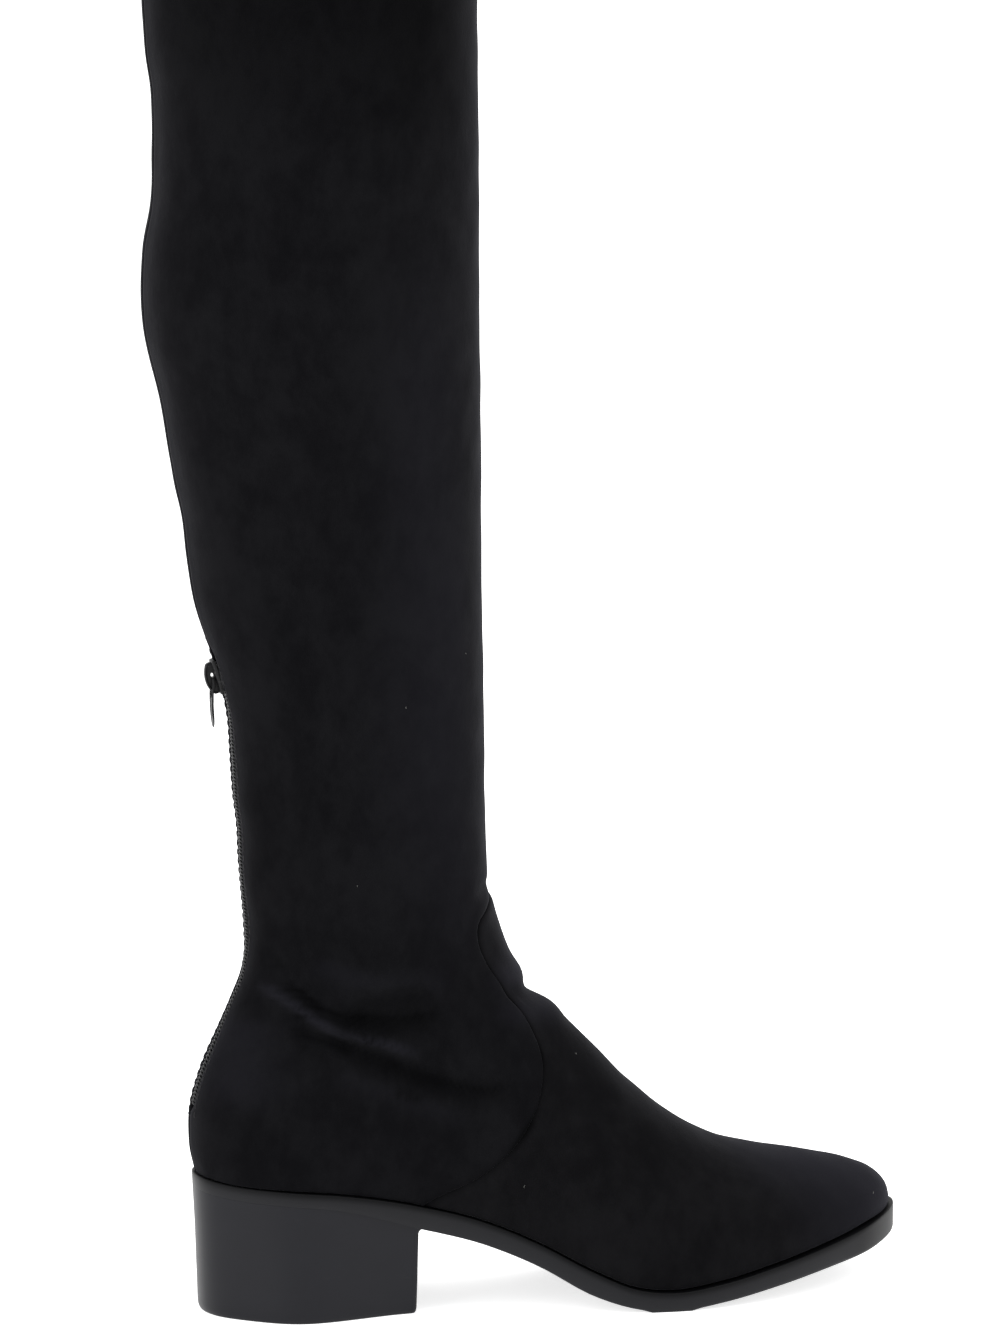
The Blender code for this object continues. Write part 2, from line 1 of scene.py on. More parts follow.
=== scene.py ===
"""Over-the-knee boot in black stretch microsuede, with a block heel and a short zip up the back.

Shapes are worked out in millimetres in the boot's own measures: a station is a distance along the foot from
the back of the heel seat, a height is above the floor, +Y is the inner (medial) side. to_frame() turns them
into the model's metres.
"""

import math

import bmesh
import bpy
import numpy as np
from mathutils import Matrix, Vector


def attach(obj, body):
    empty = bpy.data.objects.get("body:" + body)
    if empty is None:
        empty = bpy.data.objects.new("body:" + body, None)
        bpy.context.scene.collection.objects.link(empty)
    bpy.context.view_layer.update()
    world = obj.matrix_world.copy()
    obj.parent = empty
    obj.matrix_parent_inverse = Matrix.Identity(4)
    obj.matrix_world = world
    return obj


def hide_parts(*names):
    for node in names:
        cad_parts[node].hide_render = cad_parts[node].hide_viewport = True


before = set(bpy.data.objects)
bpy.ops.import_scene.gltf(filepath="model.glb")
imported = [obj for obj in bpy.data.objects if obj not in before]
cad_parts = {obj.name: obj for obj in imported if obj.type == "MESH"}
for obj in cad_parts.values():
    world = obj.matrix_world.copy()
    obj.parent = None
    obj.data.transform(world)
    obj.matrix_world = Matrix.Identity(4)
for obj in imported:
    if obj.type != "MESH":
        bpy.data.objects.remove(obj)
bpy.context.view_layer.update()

MM = 0.001
LATERAL = -1.0  # the boot's outer side, its inner side, and what lies across the middle
MEDIAL = 1.0
MIDDLE = 0.0

# ---------------------------------------------------------------- sizes of the boot, as built

SOLE_LENGTH = 259.3
HEEL_BREAST = 74.0
HEEL_CENTRE = HEEL_BREAST / 2
FEATHER = (0.6, 255.8)  # stations of the two ends of the edge where upper and sole meet
HEEL_END_RADIUS = 29.0
TOE_END_RADIUS = 15.0
FLAT_SPOT = (153.0, 172.0)  # stations between which the sole lies on the floor
HEEL_FLARE = 0.06  # how much wider the heel's sides are at its foot
HEEL_BREAST_HALF = (29.0, 25.0)  # half width of its breast at the top and at the foot
SEAT_GAP = 0.3
FEATHER_GAP = 0.45
BOOT_HEIGHT = 590.0
COLLAR_DIP = 5.0
SOLE_LEDGE = (1.0, 1.8)  # how far the sole stands out beside the upper, at the heel and at the ball
LEDGE_WIDENS = (100.0, 180.0)
DOME_POWER = 2.3
SIDE_BULGE = 0.25
HEEL_LEAN_ENDS = 90.0  # station where the upper no longer follows the lean of its back
CALF_FULLNESS = 0.10  # how much fuller the leg is behind than in front, and where that begins
FULL_CALF = (240.0, 340.0)
LEG_BLEND_FROM = 0.40  # level from which the foot's sections turn into the leg's
CLOSES_BEHIND = 0.4  # shares up to which, and from which, the two sides close in on the middle line
CLOSES_IN_FRONT = 0.6
FEATHER_TUCK = 1.1  # how far the suede is drawn in over the sole
INSOLE = 3.0
HEM_DEPTH = 22.0
ZIP_FOOT = 74.0
ZIP_HEAD = 236.0
CHAIN_WIDTH = 5.6
TAPE_WIDTH = 20.0
SLIDER_HEIGHT = 226.5  # of the slider's middle above the floor
SLIDER_LENGTH = 10.4
SLIDER_WIDTH = 8.6
PLATE_FLOOR = 0.6
SLIDER_PLATE = 1.2
PIN_DIAMETER = 1.2
TAB_LENGTH = 18.0
TAB_WIDTH = 5.4
TAB_WINDOW = 6.6

SOLE_ROWS = [
    # station, lateral, medial: half widths; seat: top of the sole above the floor; thickness
    (0.0, 0.0, 0.0, 50.0, 5.0),
    (11.0, 19.8, 19.8, 48.3, 5.0),
    (27.0, 28.2, 27.8, 47.1, 5.0),
    (47.0, 30.6, 29.2, 45.3, 5.4),
    (63.0, 31.2, 28.6, 42.7, 7.0),
    (74.0, 31.2, 27.8, 40.2, 8.0),
    (97.0, 32.0, 26.0, 33.4, 8.2),
    (117.0, 35.2, 27.2, 24.6, 8.2),
    (135.0, 40.4, 31.2, 14.9, 8.7),
    (149.0, 44.4, 34.6, 8.9, 7.3),
    (163.0, 46.4, 37.2, 7.0, 7.0),
    (181.0, 46.4, 38.0, 8.9, 6.9),
    (203.0, 42.6, 35.2, 13.0, 7.4),
    (225.0, 35.2, 28.2, 17.6, 8.2),
    (244.5, 24.4, 18.8, 22.0, 9.6),
    (259.3, 0.0, 0.0, 25.2, 10.4),
]

SWING_ROWS = [
    # station, offset of the foot's middle line to the medial side
    (0.0, 0.0), (80.0, 0.0), (130.0, 1.4), (170.0, 3.0), (215.0, 5.0), (259.3, 7.0),
]

RIDGE_ROWS = [
    # station, height: middle line of the upper from the toe up to the front of the ankle
    (254.6, 31.0), (250.0, 36.0), (242.0, 40.0), (228.0, 43.8), (206.0, 48.2), (187.0, 53.6),
    (171.0, 62.4), (156.0, 76.0), (142.0, 91.0), (129.0, 103.6), (119.4, 111.6), (114.0, 123.0),
    (108.0, 139.0), (104.8, 152.0),
]

BACK_ROWS = [
    # height, station: middle line of the upper up the heel, the calf and the thigh
    (50.0, 0.6), (57.5, -1.4), (67.0, -1.8), (76.0, -0.8), (85.0, 1.7), (93.5, 5.4), (102.5, 9.8),
    (111.0, 13.9), (118.0, 17.2), (127.0, 18.8), (136.0, 19.0), (163.0, 16.5), (199.0, 14.4),
    (217.0, 11.8), (234.5, 7.0), (252.0, 1.8), (288.0, -3.1), (323.0, -9.0), (340.0, -13.4),
    (358.0, -15.6), (375.0, -15.4), (392.0, -12.0), (410.0, -11.2), (427.0, -11.6), (462.0, -14.6),
    (590.0, -23.0),
]

BACK_FULL_ROWS = [
    # height, how far the soft back stands out beyond its middle line
    (47.0, 1.8), (52.0, 1.1), (60.0, 0.7), (72.0, 1.0), (85.0, 0.8), (98.0, 1.1), (106.0, 1.4),
    (117.0, 1.9), (130.0, 1.65), (147.0, 1.8), (158.0, 1.3), (170.0, 0.75), (185.0, 1.7), (198.0, 1.4),
    (212.0, 0.5), (240.0, 0.3), (255.0, 0.5), (271.0, 0.6), (284.0, 0.8), (298.0, 1.8), (310.0, 1.9),
    (330.0, 1.15), (352.0, 1.3), (374.0, 0.8), (398.0, 1.3), (418.0, 1.2), (430.0, 0.95), (442.0, 1.65),
    (465.0, 0.95), (530.0, 0.9), (590.0, 0.8),
]
ZIP_SUNK = 0.45  # how much of that the zip doesn't follow
HEEL_LEAN = 1.6 / 44.0  # the heel's back leans out toward its top

SHIN_ROWS = [
    # height, station: middle line up the front of the leg
    (152.0, 104.8), (200.0, 103.5), (260.0, 102.7), (360.0, 101.9), (465.0, 101.3), (590.0, 102.4),
]

LEG_WIDTH_ROWS = [
    # height at the back, half width of the leg
    (85.0, 34.0), (118.0, 34.0), (136.0, 35.4), (165.0, 37.2), (200.0, 39.4), (254.0, 43.6), (306.0, 48.4),
    (360.0, 52.4), (408.0, 52.6), (465.0, 54.2), (590.0, 58.0),
]

VAMP_SEAM_ROWS = [
    # height, station: the edge where the vamp meets the shaft, seen from the side
    (30.0, 62.0), (43.0, 80.0), (48.5, 93.0), (55.0, 102.5), (64.0, 110.5), (76.0, 117.0), (89.0, 119.5),
    (99.0, 116.8), (108.0, 110.8), (117.0, 104.6), (125.5, 99.3), (132.0, 96.5), (137.0, 96.2), (140.2, 97.6),
    (142.6, 100.6), (145.0, 103.4), (148.0, 107.0), (152.0, 112.0),
]

# Folds of the suede round the ankle: soft troughs (depth below 0) and rolls (above 0).
# By side: depth, half width, then (station, height) points; the fold fades out at both ends.
FOLDS = {
    LATERAL: [
        (-2.6, 2.2, [(26.0, 121.0), (28.8, 119.1), (31.7, 117.8), (35.4, 114.8), (38.9, 112.2),
            (43.2, 110.4), (49.0, 108.2)]),
        (-3.5, 3.8, [(42.0, 110.8), (48.2, 108.3), (54.6, 107.1), (61.9, 106.5), (69.4, 106.8),
            (76.8, 108.0), (84.0, 109.8)]),
        (-2.0, 5.5, [(48.0, 113.0), (58.0, 113.6), (68.0, 114.6), (80.0, 114.0)]),
        (2.3, 2.1, [(12.5, 123.0), (21.8, 118.2), (26.4, 116.5), (32.0, 112.9), (37.1, 109.1),
            (42.4, 105.3), (47.8, 102.9), (54.1, 101.3), (60.5, 100.0), (66.2, 97.9), (70.8, 95.6),
            (76.5, 92.0)]),
        (-2.7, 2.0, [(29.0, 105.0), (34.0, 103.4), (38.7, 102.0), (43.3, 100.8), (47.0, 99.0),
            (52.0, 96.8)]),
        (-3.2, 3.7, [(42.0, 101.2), (45.9, 99.5), (50.5, 97.5), (57.0, 94.6), (62.6, 92.3),
            (68.1, 89.8), (75.6, 86.6), (81.2, 85.0), (87.8, 82.6), (94.4, 81.1), (105.0, 81.2),
            (115.0, 82.4)]),
        (0.5, 5.0, [(42.0, 91.0), (54.0, 86.5), (68.0, 80.5), (82.0, 75.5), (96.0, 72.5)]),
        (-1.1, 1.3, [(30.0, 110.2), (32.6, 108.7), (35.0, 107.4)]),
        (-1.8, 3.0, [(23.0, 135.0), (25.4, 128.4), (27.2, 124.6)]),
        (-0.9, 2.2, [(32.0, 99.3), (37.0, 97.3), (42.0, 96.0)]),
        (-1.2, 1.3, [(65.0, 83.4), (69.0, 81.4), (72.7, 79.6), (76.0, 78.4)]),
        (0.6, 5.0, [(34.0, 131.0), (52.0, 123.0), (70.0, 119.5), (88.0, 121.5)]),
        (-0.7, 4.5, [(30.0, 141.0), (48.0, 135.0), (66.0, 131.5)]),
    ],
    MEDIAL: [
        (-3.2, 4.6, [(24.0, 124.0), (33.0, 119.0), (45.0, 112.5), (58.0, 109.5), (72.0, 110.0),
            (84.0, 113.0)]),
        (2.0, 3.2, [(26.0, 113.5), (38.0, 108.0), (50.0, 104.0), (64.0, 101.0), (78.0, 99.5)]),
        (-3.9, 3.9, [(28.0, 108.5), (42.0, 102.0), (56.0, 96.5), (72.0, 91.5), (88.0, 87.0),
            (100.0, 86.0)]),
        (1.2, 5.0, [(42.0, 91.5), (58.0, 86.0), (76.0, 80.5), (92.0, 77.0)]),
        (-1.2, 2.0, [(60.0, 83.0), (68.0, 80.0), (76.0, 78.2)]),
        (1.5, 5.0, [(38.0, 129.0), (54.0, 122.5), (72.0, 121.0)]),
    ],
    MIDDLE: [
        (1.2, 4.4, [(98.0, 110.0), (110.0, 107.0), (120.0, 105.5), (130.0, 104.3)]),
        (-0.8, 3.0, [(102.0, 117.0), (110.0, 113.8), (118.0, 112.3), (126.0, 111.6)]),
        (1.3, 4.2, [(98.0, 122.5), (106.0, 119.5), (114.0, 118.0), (122.0, 117.4)]),
        (-1.0, 3.2, [(94.0, 152.0), (100.0, 150.6), (105.5, 149.6), (112.0, 149.0)]),
    ],
}
FOLD_STEPS = 24
BROAD_WAVES = (3, 52.0)  # seed and length of the slack suede's broad and fine waves
FINE_WAVES = (8, 17.0)
FINE_SLACK = 0.10
STEEP_ABOVE = 0.75  # a trough's upper wall is steeper than its lower one
GENTLE_BELOW = 1.25

# Broad dents and swells of the stretch shaft. side, depth, station, height, length along, height of the patch
SWELLS = [
    (LATERAL, -0.9, 43.5, 456.0, 16.0, 15.0),
    (LATERAL, -0.7, 63.6, 447.0, 12.0, 14.0),
    (LATERAL, -0.8, 21.2, 346.0, 14.0, 17.0),
    (LATERAL, 0.6, 60.0, 395.0, 26.0, 30.0),
    (LATERAL, -0.5, 72.0, 300.0, 20.0, 40.0),
    (LATERAL, 0.5, 50.0, 215.0, 22.0, 36.0),
    (LATERAL, -0.6, 30.0, 262.0, 13.0, 22.0),
    (LATERAL, 0.9, 75.0, 48.0, 13.0, 3.0),
    (MEDIAL, -0.9, 38.0, 448.0, 16.0, 16.0),
    (MEDIAL, -0.7, 60.0, 360.0, 16.0, 24.0),
    (MEDIAL, 0.6, 48.0, 402.0, 24.0, 26.0),
    (MEDIAL, -0.5, 66.0, 270.0, 20.0, 34.0),
    (MEDIAL, 0.5, 46.0, 200.0, 22.0, 34.0),
    (LATERAL, 0.9, 170.0, 63.0, 24.0, 14.0),
    (MEDIAL, 0.9, 170.0, 63.0, 24.0, 14.0),
    (LATERAL, -0.6, 185.0, 34.0, 16.0, 7.0),
    (MEDIAL, -0.6, 178.0, 32.0, 16.0, 7.0),
]


# ---------------------------------------------------------------- curves


def through(rows, column=1):
    """A smooth function through (position, value) rows, with slopes taken from the neighbouring rows."""
    at = np.array([row[0] for row in rows], float)
    value = np.array([row[column] for row in rows], float)
    slope = np.gradient(value, at)

    def curve(position):
        position = np.clip(position, at[0], at[-1])
        k = np.clip(np.searchsorted(at, position, side="right") - 1, 0, len(at) - 2)
        step = at[k + 1] - at[k]
        f = (position - at[k]) / step
        return (
            value[k] * (1 + 2 * f) * (1 - f) ** 2
            + slope[k] * step * f * (1 - f) ** 2
            + value[k + 1] * f * f * (3 - 2 * f)
            + slope[k + 1] * step * f * f * (f - 1)
        )

    return curve


def along(points):
    """A smooth path through points: path(0) is the first, path(1) the last, even steps cover even lengths."""
    points = np.array(points, float)
    share = lengths_along(points)
    share = share / share[-1]
    parts = [through(list(zip(share, points[:, i]))) for i in range(points.shape[1])]
    return lambda t: np.stack([part(t) for part in parts], -1)


def lengths_along(points):
    """Distance along a line at each of its points."""
    return np.concatenate([[0], np.cumsum(np.linalg.norm(np.diff(points, axis=0), axis=1))])


def ease(low, high, value):
    """0 below low, 1 above high, and a smooth rise between them."""
    f = np.clip((value - low) / (high - low), 0, 1)
    return f * f * (3 - 2 * f)


def quarter_round(distance, radius):
    """0 at an edge, 1 from the radius on, with the profile of a quarter circle."""
    f = 1 - np.clip(distance / radius, 0, 1)
    return np.sqrt(1 - f * f)


def bell(value, centre, width):
    """1 at the centre, and almost nothing two widths away from it."""
    return np.exp(-(((value - centre) / width) ** 2))


def unit(vectors):
    return vectors / np.linalg.norm(vectors, axis=-1, keepdims=True)


def wrapped(turn):
    """The same turn, between -pi and pi."""
    return (turn + math.pi) % (2 * math.pi) - math.pi


def points_at(line, reach, wanted):
    """Points at wanted distances along a line whose own points lie at the distances of reach."""
    return np.stack([np.interp(wanted, reach, line[:, i]) for i in range(line.shape[1])], -1)


# ---------------------------------------------------------------- the last


def rounded_ends(station):
    """The angle round the foot: 0 at the back of the heel, pi at the tip of the toe."""
    return np.arccos(np.clip(1 - 2 * np.asarray(station) / SOLE_LENGTH, -1, 1))


def fullness(column):
    """Half width divided by the sine of that angle, which stays finite at the two round ends."""
    ends = [math.sqrt(r * SOLE_LENGTH / 2) for r in (HEEL_END_RADIUS, TOE_END_RADIUS)]
    rows = [(0.0, ends[0])]
    for row in SOLE_ROWS[1:-1]:
        angle = float(rounded_ends(row[0]))
        rows.append((angle, row[column] / math.sin(angle)))
    rows.append((math.pi, ends[1]))
    return through(rows)


FULLNESS = {LATERAL: fullness(1), MEDIAL: fullness(2)}
SEAT = through(SOLE_ROWS, 3)
SOLE_THICKNESS = through(SOLE_ROWS, 4)
SWING = through(SWING_ROWS)
BACK = through(BACK_ROWS)
BACK_FULL = through(BACK_FULL_ROWS)
SHIN = through(SHIN_ROWS)
LEG_WIDTH = through(LEG_WIDTH_ROWS)
SEAM = through(VAMP_SEAM_ROWS)
ANKLE_BACK = 136.0
ANKLE_FRONT = RIDGE_ROWS[-1]


def feather_height(station):
    return SEAT(station) + FEATHER_GAP


TOE_TIP = (FEATHER[1], float(feather_height(FEATHER[1])))
RIDGE = along([TOE_TIP, *RIDGE_ROWS])
RIDGE_LINE = RIDGE(np.linspace(1, 0, 4000))


def front_station(height):
    """Station of the ridge line at a height."""
    return np.interp(height, RIDGE_LINE[::-1, 1], RIDGE_LINE[::-1, 0])


def sole_half_width(station, side):
    angle = rounded_ends(station)
    return FULLNESS[side](angle) * np.sin(angle)


def sole_bottom(station):
    """Underside of the sole, flat on the floor across the ball."""
    bottom = SEAT(station) - SOLE_THICKNESS(station)
    on_floor = (station > FLAT_SPOT[0]) & (station < FLAT_SPOT[1])
    return np.where(on_floor, 0.0, np.maximum(bottom, 0.0))


def foot_half_width(station, height, side):
    """Half width of the upper over the foot: the sole's outline, bulging a little, domed up to the ridge."""
    heel_lean = (BACK(height) - FEATHER[0]) * (1 - ease(0, HEEL_LEAN_ENDS, station))
    own = (station - heel_lean - FEATHER[0]) / (FEATHER[1] - FEATHER[0])
    angle = rounded_ends(np.clip(own, 0, 1) * SOLE_LENGTH)
    ledge = SOLE_LEDGE[0] + (SOLE_LEDGE[1] - SOLE_LEDGE[0]) * ease(*LEDGE_WIDENS, station)
    width = (FULLNESS[side](angle) - ledge) * np.sin(angle)
    base = feather_height(station)
    full_rise = np.maximum(np.interp(station, RIDGE_LINE[:, 0], RIDGE_LINE[:, 1]) - base, 0.1)
    rise = np.clip((height - base) / full_rise, 0, 1)
    dome = np.sqrt(1 - rise**DOME_POWER)
    return width * dome * (1 + SIDE_BULGE * rise * (1 - rise))


def leg_half_width(back_height, across):
    """Half width of the leg: an oval that from the calf up is fuller behind than in front."""
    calf = CALF_FULLNESS * ease(*FULL_CALF, back_height)
    oval = np.sqrt(np.clip(1 - across**2, 0, 1)) * (1 - calf * across)
    return LEG_WIDTH(back_height) * oval


def side_view(level, share):
    """Station and height of a point, and its ring's height at the back. Share is 0 behind, 1 in front."""
    low = np.clip(level, 0, 1)
    climb = np.clip(level - 1, 0, 1)
    foot = FEATHER[0] + share * (FEATHER[1] - FEATHER[0])
    rise = (1 - low) * feather_height(FEATHER[0]) + low * ANKLE_BACK
    ridge = RIDGE(low)
    back_height = ANKLE_BACK + climb * (BOOT_HEIGHT - COLLAR_DIP - ANKLE_BACK)
    front_height = ANKLE_FRONT[1] + climb * (BOOT_HEIGHT - ANKLE_FRONT[1])
    low_point = []
    ends = feather_height(np.array(FEATHER))
    for feather, corners, ankle, back, front in (
        (foot, FEATHER, (BACK(ANKLE_BACK), ANKLE_FRONT[0]), BACK(rise), ridge[..., 0]),
        (feather_height(foot), ends, (ANKLE_BACK, ANKLE_FRONT[1]), rise, ridge[..., 1]),
    ):
        low_point.append(
            (1 - low) * feather
            + low * ((1 - share) * ankle[0] + share * ankle[1])
            + (1 - share) * (back - (1 - low) * corners[0] - low * ankle[0])
            + share * (front - (1 - low) * corners[1] - low * ankle[1])
        )
    in_leg = level > 1
    station = np.where(in_leg, (1 - share) * BACK(back_height) + share * SHIN(front_height), low_point[0])
    height = np.where(in_leg, (1 - share) * back_height + share * front_height, low_point[1])
    return station, height, np.where(in_leg, back_height, rise)


def section(level, share, lateral):
    """Station, height and half width of a ring's points."""
    station, height, back_height = side_view(level, share)
    leg = ease(LEG_BLEND_FROM, 1.0, level)
    foot = np.where(
        lateral, foot_half_width(station, height, LATERAL), foot_half_width(station, height, MEDIAL)
    )
    return station, height, (1 - leg) * foot + leg * leg_half_width(back_height, 2 * share - 1)


def skin(level, turn):
    """Points of the boot's smooth outside. Level 0 is the feather edge, 1 the ankle and 2 the collar.

    Turn runs from -pi to pi: 0 is the middle of the back, positive values lie on the lateral side.
    """
    level, turn = np.broadcast_arrays(np.asarray(level, float), np.asarray(turn, float))
    turn = wrapped(turn)
    share = (1 - np.cos(turn)) / 2
    lateral = turn >= 0
    station, height, width = section(level, share, lateral)
    behind = section(level, np.zeros_like(share), lateral)[2] ** 2 * ease(CLOSES_BEHIND, 0.0, share)
    in_front = section(level, np.ones_like(share), lateral)[2] ** 2 * ease(CLOSES_IN_FRONT, 1.0, share)
    width = np.sqrt(np.maximum(width**2 - behind - in_front, 0))
    middle = SWING(station) * (1 - ease(LEG_BLEND_FROM, 1.0, level))
    return np.stack([station, middle + np.where(lateral, LATERAL, MEDIAL) * width, height], -1)


def skin_normal(level, turn, step=0.004):
    """Unit normals that point out of the smooth outside."""
    low, high = np.clip(level - step / 2, 0, 2), np.clip(level + step / 2, 0, 2)
    up = skin(high, turn) - skin(low, turn)
    round_ring = skin(level, turn + step) - skin(level, turn - step)
    normal = np.cross(round_ring, up)
    return normal / np.maximum(np.linalg.norm(normal, axis=-1, keepdims=True), 1e-9)


# ---------------------------------------------------------------- soft relief of the suede


def path_distance(points, path):
    """Distance of points from a polyline, how far along it (0 to 1) the nearest place is, and that place."""
    best = np.full(len(points), 1e9)
    where = np.zeros(len(points))
    nearest = np.zeros_like(points)
    reach = lengths_along(path)
    for a, b, low, high in zip(path[:-1], path[1:], reach, reach[1:]):
        f = np.clip((points - a) @ (b - a) / (high - low) ** 2, 0, 1)
        foot = a + f[:, None] * (b - a)
        gap = np.linalg.norm(points - foot, axis=1)
        nearer = gap < best
        best = np.where(nearer, gap, best)
        where = np.where(nearer, (low + f * (high - low)) / reach[-1], where)
        nearest[nearer] = foot[nearer]
    return best, where, nearest


def ripple(points, seed, size):
    """A gentle wavy field of about +-1 whose waves are about one size long."""
    rng = np.random.default_rng(seed)
    total = np.zeros(points.shape[:-1])
    for _ in range(9):
        direction = rng.normal(size=3)
        direction *= rng.uniform(0.7, 1.4) / np.linalg.norm(direction)
        total += np.sin(points @ direction * 2 * math.pi / size + rng.uniform(0, 2 * math.pi))
    return total / 4.2


def lateral_share(turn):
    """1 on the lateral side and 0 on the medial one, with a soft change between them."""
    return ease(-0.25, 0.25, np.sin(turn))


def folded(points, turn):
    """Height of the folds of the suede over the smooth outside; they die out beside the zip."""
    flat = points[..., [0, 2]].reshape(-1, 2)
    lateral = lateral_share(turn).reshape(-1)
    share = {LATERAL: lateral, MEDIAL: 1 - lateral, MIDDLE: np.ones_like(lateral)}
    total = np.zeros(len(flat))
    for side, depth, half_width, path in ((side, *fold) for side, folds in FOLDS.items() for fold in folds):
        gap, where, nearest = path_distance(flat, along(path)(np.linspace(0, 1, FOLD_STEPS)))
        fade = ease(0, 0.5, where) if side == MIDDLE else ease(0, 0.18, where) * ease(0, 0.22, 1 - where)
        if depth < 0:
            gap = gap / np.where(flat[:, 1] > nearest[:, 1], STEEP_ABOVE, GENTLE_BELOW)
        total += share[side] * depth * fade * bell(gap, 0, half_width)
    beside_zip = ease(0.12, 0.34, np.abs(np.sin(turn / 2)))
    return total.reshape(points.shape[:-1]) * beside_zip


def at_back(turn):
    """1 across the back's middle, 0 from where the sides begin."""
    return ease(0.80, 0.25, np.abs(wrapped(turn)))


def at_toe(station):
    """0 up to the ball, 1 at the tip of the toe."""
    return ease(238, 253, station)


def relief(points, turn):
    """Height of the folds, swells and slack of the suede over the smooth outside."""
    station, height = points[..., 0], points[..., 2]
    lateral = lateral_share(turn)
    total = folded(points, turn)
    for side, depth, at_station, at_height, long, tall in SWELLS:
        gap = ((station - at_station) / long) ** 2 + ((height - at_height) / tall) ** 2
        total = total + (lateral if side == LATERAL else 1 - lateral) * depth * np.exp(-gap)
    slack = 0.22 + 0.25 * ease(90, 130, height) * ease(330, 150, height)
    total = total + slack * ripple(points, *BROAD_WAVES) + FINE_SLACK * ripple(points, *FINE_WAVES)
    total = total * ease(0, 7, height - feather_height(station)) + BACK_FULL(height) * at_back(turn)
    return total - 0.4 * at_back(turn + math.pi) * ease(150, 175, height) + 0.6 * at_toe(station)


def suede_tone_and_painted_light(points, turn, seam):
    """Painted shade and highlight over the nap's tone, from -1 darkest to 1 palest."""
    station, height = points[..., 0], points[..., 2]
    folds = folded(points, turn)
    crown = ease(2.2, 2.95, np.abs(wrapped(turn)))  # the middle of the shin and of the vamp's top
    forefoot = ease(80, 60, height)
    # Painted light and tone: the folds' troughs are painted dark and their crests pale; the other terms
    # lighten or darken broad zones.
    terms = (
        folds / np.where(folds < 0, 5.4, 2.2),
        0.32 * bell(station, 74, 17) * ease(120, 210, height) * ease(392, 325, height),  # up beside the shin
        -0.25 * bell(station, 72, 22) * ease(385, 440, height),  # the front of the thigh
        -0.5 * ease(396, 462, height),  # all of the thigh
        0.2 * bell(station, 88, 11) * ease(118, 150, height) * ease(305, 260, height),  # the lower shin
        -0.5 * ease(88, 100, station) * ease(180, 260, height),  # painted shade on the shin's front edge
        -0.35 * bell(station, 17, 8) * ease(112, 135, height) * ease(205, 180, height),  # the lower leg's back
        0.4 * bell(station, 12, 13) * ease(72, 84, height) * ease(110, 102, height),  # the heel's back
        0.5 * crown * ease(96, 104, station) * bell(height, 118, 10),  # the ankle's front
        -0.6 * crown * ease(128, 140, station) * ease(182, 168, station),  # painted shade on the instep
        forefoot * (0.2 * ease(200, 228, station) - 0.15 * bell(station, 172, 22)),  # toe and ball
        0.8 * crown * ease(178, 212, station),  # painted highlight on the toe's top
    )
    painted_seam_shade = 0.3 + 0.6 * bell(height, 66, 7) + 0.45 * bell(height, 91, 3.5)  # painted shade in the groove beside the vamp's edge
    return np.clip(sum(terms) - painted_seam_shade * bell(seam, 0, 0.8 + 0.8 * ease(76, 66, height)), -1, 1)


# ---------------------------------------------------------------- meshes


def to_frame(points):
    return (np.asarray(points, float) - [HEEL_CENTRE, 0, 0]) * MM


def put_in_scene(name, data):
    made = bpy.data.objects.new(name, data)
    bpy.context.scene.collection.objects.link(made)
    return made


def mesh_object(name, points, faces, finish, sharp=None, merge=True, painted_light_and_tone=None):
    """An object from points in millimetres, its faces turned outward and smoothly shaded."""
    mesh = bpy.data.meshes.new(name)
    mesh.from_pydata(to_frame(points).tolist(), [], [list(map(int, face)) for face in faces])
    if painted_light_and_tone is not None:
        mesh.attributes.new("painted_light_and_tone", "FLOAT", "POINT").data.foreach_set("value", np.asarray(painted_light_and_tone, np.float32))
    work = bmesh.new()
    work.from_mesh(mesh)
    if merge:
        bmesh.ops.remove_doubles(work, verts=work.verts, dist=0.002 * MM)
        bmesh.ops.dissolve_degenerate(work, edges=work.edges, dist=0.001 * MM)
    bmesh.ops.recalc_face_normals(work, faces=work.faces)
    work.to_mesh(mesh)
    work.free()
    mesh.shade_smooth()
    if sharp:
        mesh.set_sharp_from_angle(angle=math.radians(sharp))
    mesh.materials.append(finish)
    return put_in_scene(name, mesh)


def grid_faces(rows, columns, first=0, closed=False):
    """Quads of a grid of points numbered row by row; closed joins the last column to the first."""
    i = np.arange(rows - 1)[:, None]
    j = np.arange(columns if closed else columns - 1)[None, :]
    a = first + i * columns + j
    b = first + i * columns + (j + 1) % columns
    return np.stack([a, b, b + columns, a + columns], -1).reshape(-1, 4).tolist()


def sheet_solid(name, outer, inner, finish, closed=False, painted_light_and_tone=None):
    """A closed solid between two grids of the same size: their faces and the strips along their edges.

    Painted_light_and_tone gives the outer grid's painted shade and highlight with the nap's tone; the inner
    grid gets zero.
    """
    rows, columns = outer.shape[:2]
    size = rows * columns
    faces = grid_faces(rows, columns, 0, closed) + grid_faces(rows, columns, size, closed)
    strips = [[(0, j) for j in range(columns)], [(rows - 1, j) for j in range(columns)]]
    if closed:
        strips = [strip + strip[:1] for strip in strips]
    else:
        strips += [[(i, 0) for i in range(rows)], [(i, columns - 1) for i in range(rows)]]
    for strip in strips:
        ids = [i * columns + j for i, j in strip]
        faces += [(a, b, b + size, a + size) for a, b in zip(ids[:-1], ids[1:])]
    if painted_light_and_tone is not None:
        painted_light_and_tone = np.concatenate([painted_light_and_tone.reshape(-1), np.zeros(size)])
    points = np.concatenate([outer.reshape(-1, 3), inner.reshape(-1, 3)])
    return mesh_object(name, points, faces, finish, painted_light_and_tone=painted_light_and_tone)


